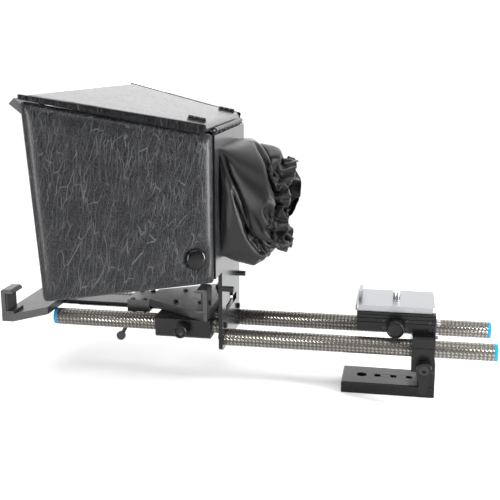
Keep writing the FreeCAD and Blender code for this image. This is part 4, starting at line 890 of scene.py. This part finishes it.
def thumb_knob(node, joint, head_low, teeth, dish):
    """A thumb screw with a knurled rim and a dished face, whose dish is a share of its radius."""
    low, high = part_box(node)
    radius = (high.z - low.z) / 2
    place = joints[joint]["pos_m"][0]
    outer = max(abs(high.x), abs(low.x)) - abs(place)
    inner = min(abs(high.x), abs(low.x)) - abs(place)
    head = head_low - abs(place)
    chamfer = 0.6 * MM
    profile = [
        (SHANK_RADIUS - 0.4 * MM, inner, 0), (SHANK_RADIUS, inner + 0.4 * MM, 0), (SHANK_RADIUS, head, 0),
        (radius * 0.72, head, 0), (radius * 0.8, head + 0.3 * MM, 0), (radius - chamfer, head + 0.5 * MM, 0),
        (radius, head + 1.2 * MM, KNURL_DEPTH), (radius, outer - 1.3 * MM, KNURL_DEPTH),
        (radius - chamfer, outer - 0.5 * MM, 0), (radius - 1.1 * MM, outer, 0),
        (radius * dish, outer, 0), (radius * (dish - 0.05), outer - 0.5 * MM, 0),
        (radius * (dish - 0.12), outer - 1.6 * MM, 0), (radius * 0.3, outer - 1.9 * MM, 0),
        (0, outer - 1.9 * MM, 0),
    ]
    turned_piece(
        node + "_knurled", profile, teeth, placed_on(joint), "black_anodised", body_of(node),
        (node,),
    )


def domed_knob(side):
    """A glossy domed cap on a short shank."""
    node = "glass_knob_" + side
    low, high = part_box(node)
    radius = (high.z - low.z) / 2
    shank_end, seat, dome_low, top = -5 * MM, 0.3 * MM, 1.6 * MM, 4.5 * MM
    chamfer, squareness, steps = 0.6 * MM, 0.62, 12
    profile = [(SHANK_RADIUS, shank_end, 0), (SHANK_RADIUS, seat, 0), (radius - chamfer, seat, 0)]
    profile += [(radius, seat + 0.5 * MM, 0), (radius, dome_low, 0)]
    for step in range(1, steps + 1):
        angle = math.pi / 2 * step / steps
        reach = radius * math.cos(angle) ** squareness
        profile.append((reach, dome_low + (top - dome_low) * math.sin(angle), 0))
    turned_piece(
        "hood_knob_" + side, profile, 0, placed_on("glass_lock_" + side + "_turn"), "gloss_black_plastic",
        body_of(node), (node,),
    )


def build_knobs():
    base_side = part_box("camera_base")[1].x
    thumb_knob("base_knob", "base_knob_turn", base_side + 1.5 * MM, BASE_KNOB_TEETH, dish=0.84)
    carriage_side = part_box("carriage_block")[1].x
    for side in ("left", "right"):
        joint = "carriage_lock_" + side + "_turn"
        thumb_knob("carriage_knob_" + side, joint, carriage_side + 1 * MM, CARRIAGE_KNOB_TEETH, dish=0.7)
        domed_knob(side)


# ---------------------------------------------------------------- carried CAD nodes

SIDE_ON = 0.7
FINE_EDGE = 0.12 * MM
PLAIN_EDGE = 0.4 * MM
ROD_EDGE = 0.15 * MM
RODS = ("rear_rod_left", "rear_rod_right", "front_rod_left", "front_rod_right")
DRESSED = {
    # the lens plate takes the lighter copy of the black anodising, a painted sheen
    "plate_anodised_painted_sheen": ("lens_plate",),
    "black_anodised": (
        "tripod_plate", "support_post", "rod_saddle", "clamp_cap", "camera_base", "carriage_block",
        "slide_bar", "hood_brackets", "clamp_lever",
    ),
    "silver_aluminium": ("camera_plate", "rod_inserts"),
    "black_plastic": (
        "cradle_housing", "rear_wing", "front_wing", "rear_claws", "front_claws",
        "glass_frame", "pivot_blocks", "shroud_retainer",
    ),
    "black_rubber": ("rear_claw_pads", "front_claw_pads"),
    "blue_plastic": ("rod_end_caps",),
    "black_steel": (
        "cradle_screws", "rear_claw_screws", "front_claw_screws", "cradle_lock_screw", "clamp_screws",
        "lever_bolt", "base_side_screws", "rod_screws", "plate_screws", "hinge_fixed_leaf",
        "hinge_moving_leaf", "hood_clips", "bar_screws", "plate_studs",
    ),
    "bright_steel": (
        "lever_nut", "camera_screw", "hinge_pin", "pivot_pins", "rear_screws",
    ),
}
FINE_EDGED = {
    "clamp_screws", "lever_bolt", "base_side_screws", "rear_screws", "rod_screws", "plate_screws",
    "hinge_fixed_leaf", "hinge_moving_leaf", "bar_screws", "plate_studs", "lever_nut", "camera_screw",
    "cradle_screws", "rear_claw_screws", "front_claw_screws", "hood_clips", "shroud_retainer",
}


def dress_nodes():
    for material, names in DRESSED.items():
        for node in names:
            dress(node, material, FINE_EDGE if node in FINE_EDGED else PLAIN_EDGE)
    for rod in RODS:
        MATERIALS[rod] = carbon("carbon_" + rod, middle(rod))
        dress(rod, rod, ROD_EDGE)
    dress("glass_pane", "beam_splitter_glass", 0)
    # the lens plate's faces that turn towards ±X go back to the plain black anodising; its other faces keep the
    # lighter copy, a painted sheen
    repaint(nodes["lens_plate"], "black_anodised", lambda facing: abs(facing.x) > SIDE_ON)


# ---------------------------------------------------------------- the scene


def add_floor():
    """A pale floor, just clear of the part's underside."""
    low = cad_box[0].z - FLOOR_DROP
    corners = [(-1, -1), (1, -1), (1, 1), (-1, 1)]
    mesh = bpy.data.meshes.new("floor")
    mesh.from_pydata([(x * FLOOR_HALF, y * FLOOR_HALF, low) for x, y in corners], [], [(0, 1, 2, 3)])
    shader = Shader("floor_paper", Specular_IOR_Level=0.2)
    paper = shader.grain(9.0, detail=4.0)
    shader.tint(paper, dark=(0.86, 0.86, 0.86), light=(0.90, 0.90, 0.90))
    shader.roughness(paper, low=0.8, high=0.9)
    mesh.materials.append(shader.material)
    floor = bpy.data.objects.new("floor", mesh)
    bpy.context.scene.collection.objects.link(floor)


add_camera()
add_world()
add_light("overhead_strip", place=(0.72, -0.15, 1.1), target=(0, -0.15, 0.1), size=(1.3, 0.28), watts=7.5)
add_light("left_strip", place=(0.72, -0.46, 0.20), target=(0.135, -0.29, 0.15), size=(0.08, 0.42), watts=5.0)
add_light("right_strip", place=(0.18, 0.43, 0.17), target=(0.08, -0.155, 0.14), size=(0.08, 0.36), watts=7.0)
bpy.context.scene.view_settings.view_transform = "Standard"
add_floor()
build_hood()
build_shroud()
build_knobs()
dress_nodes()
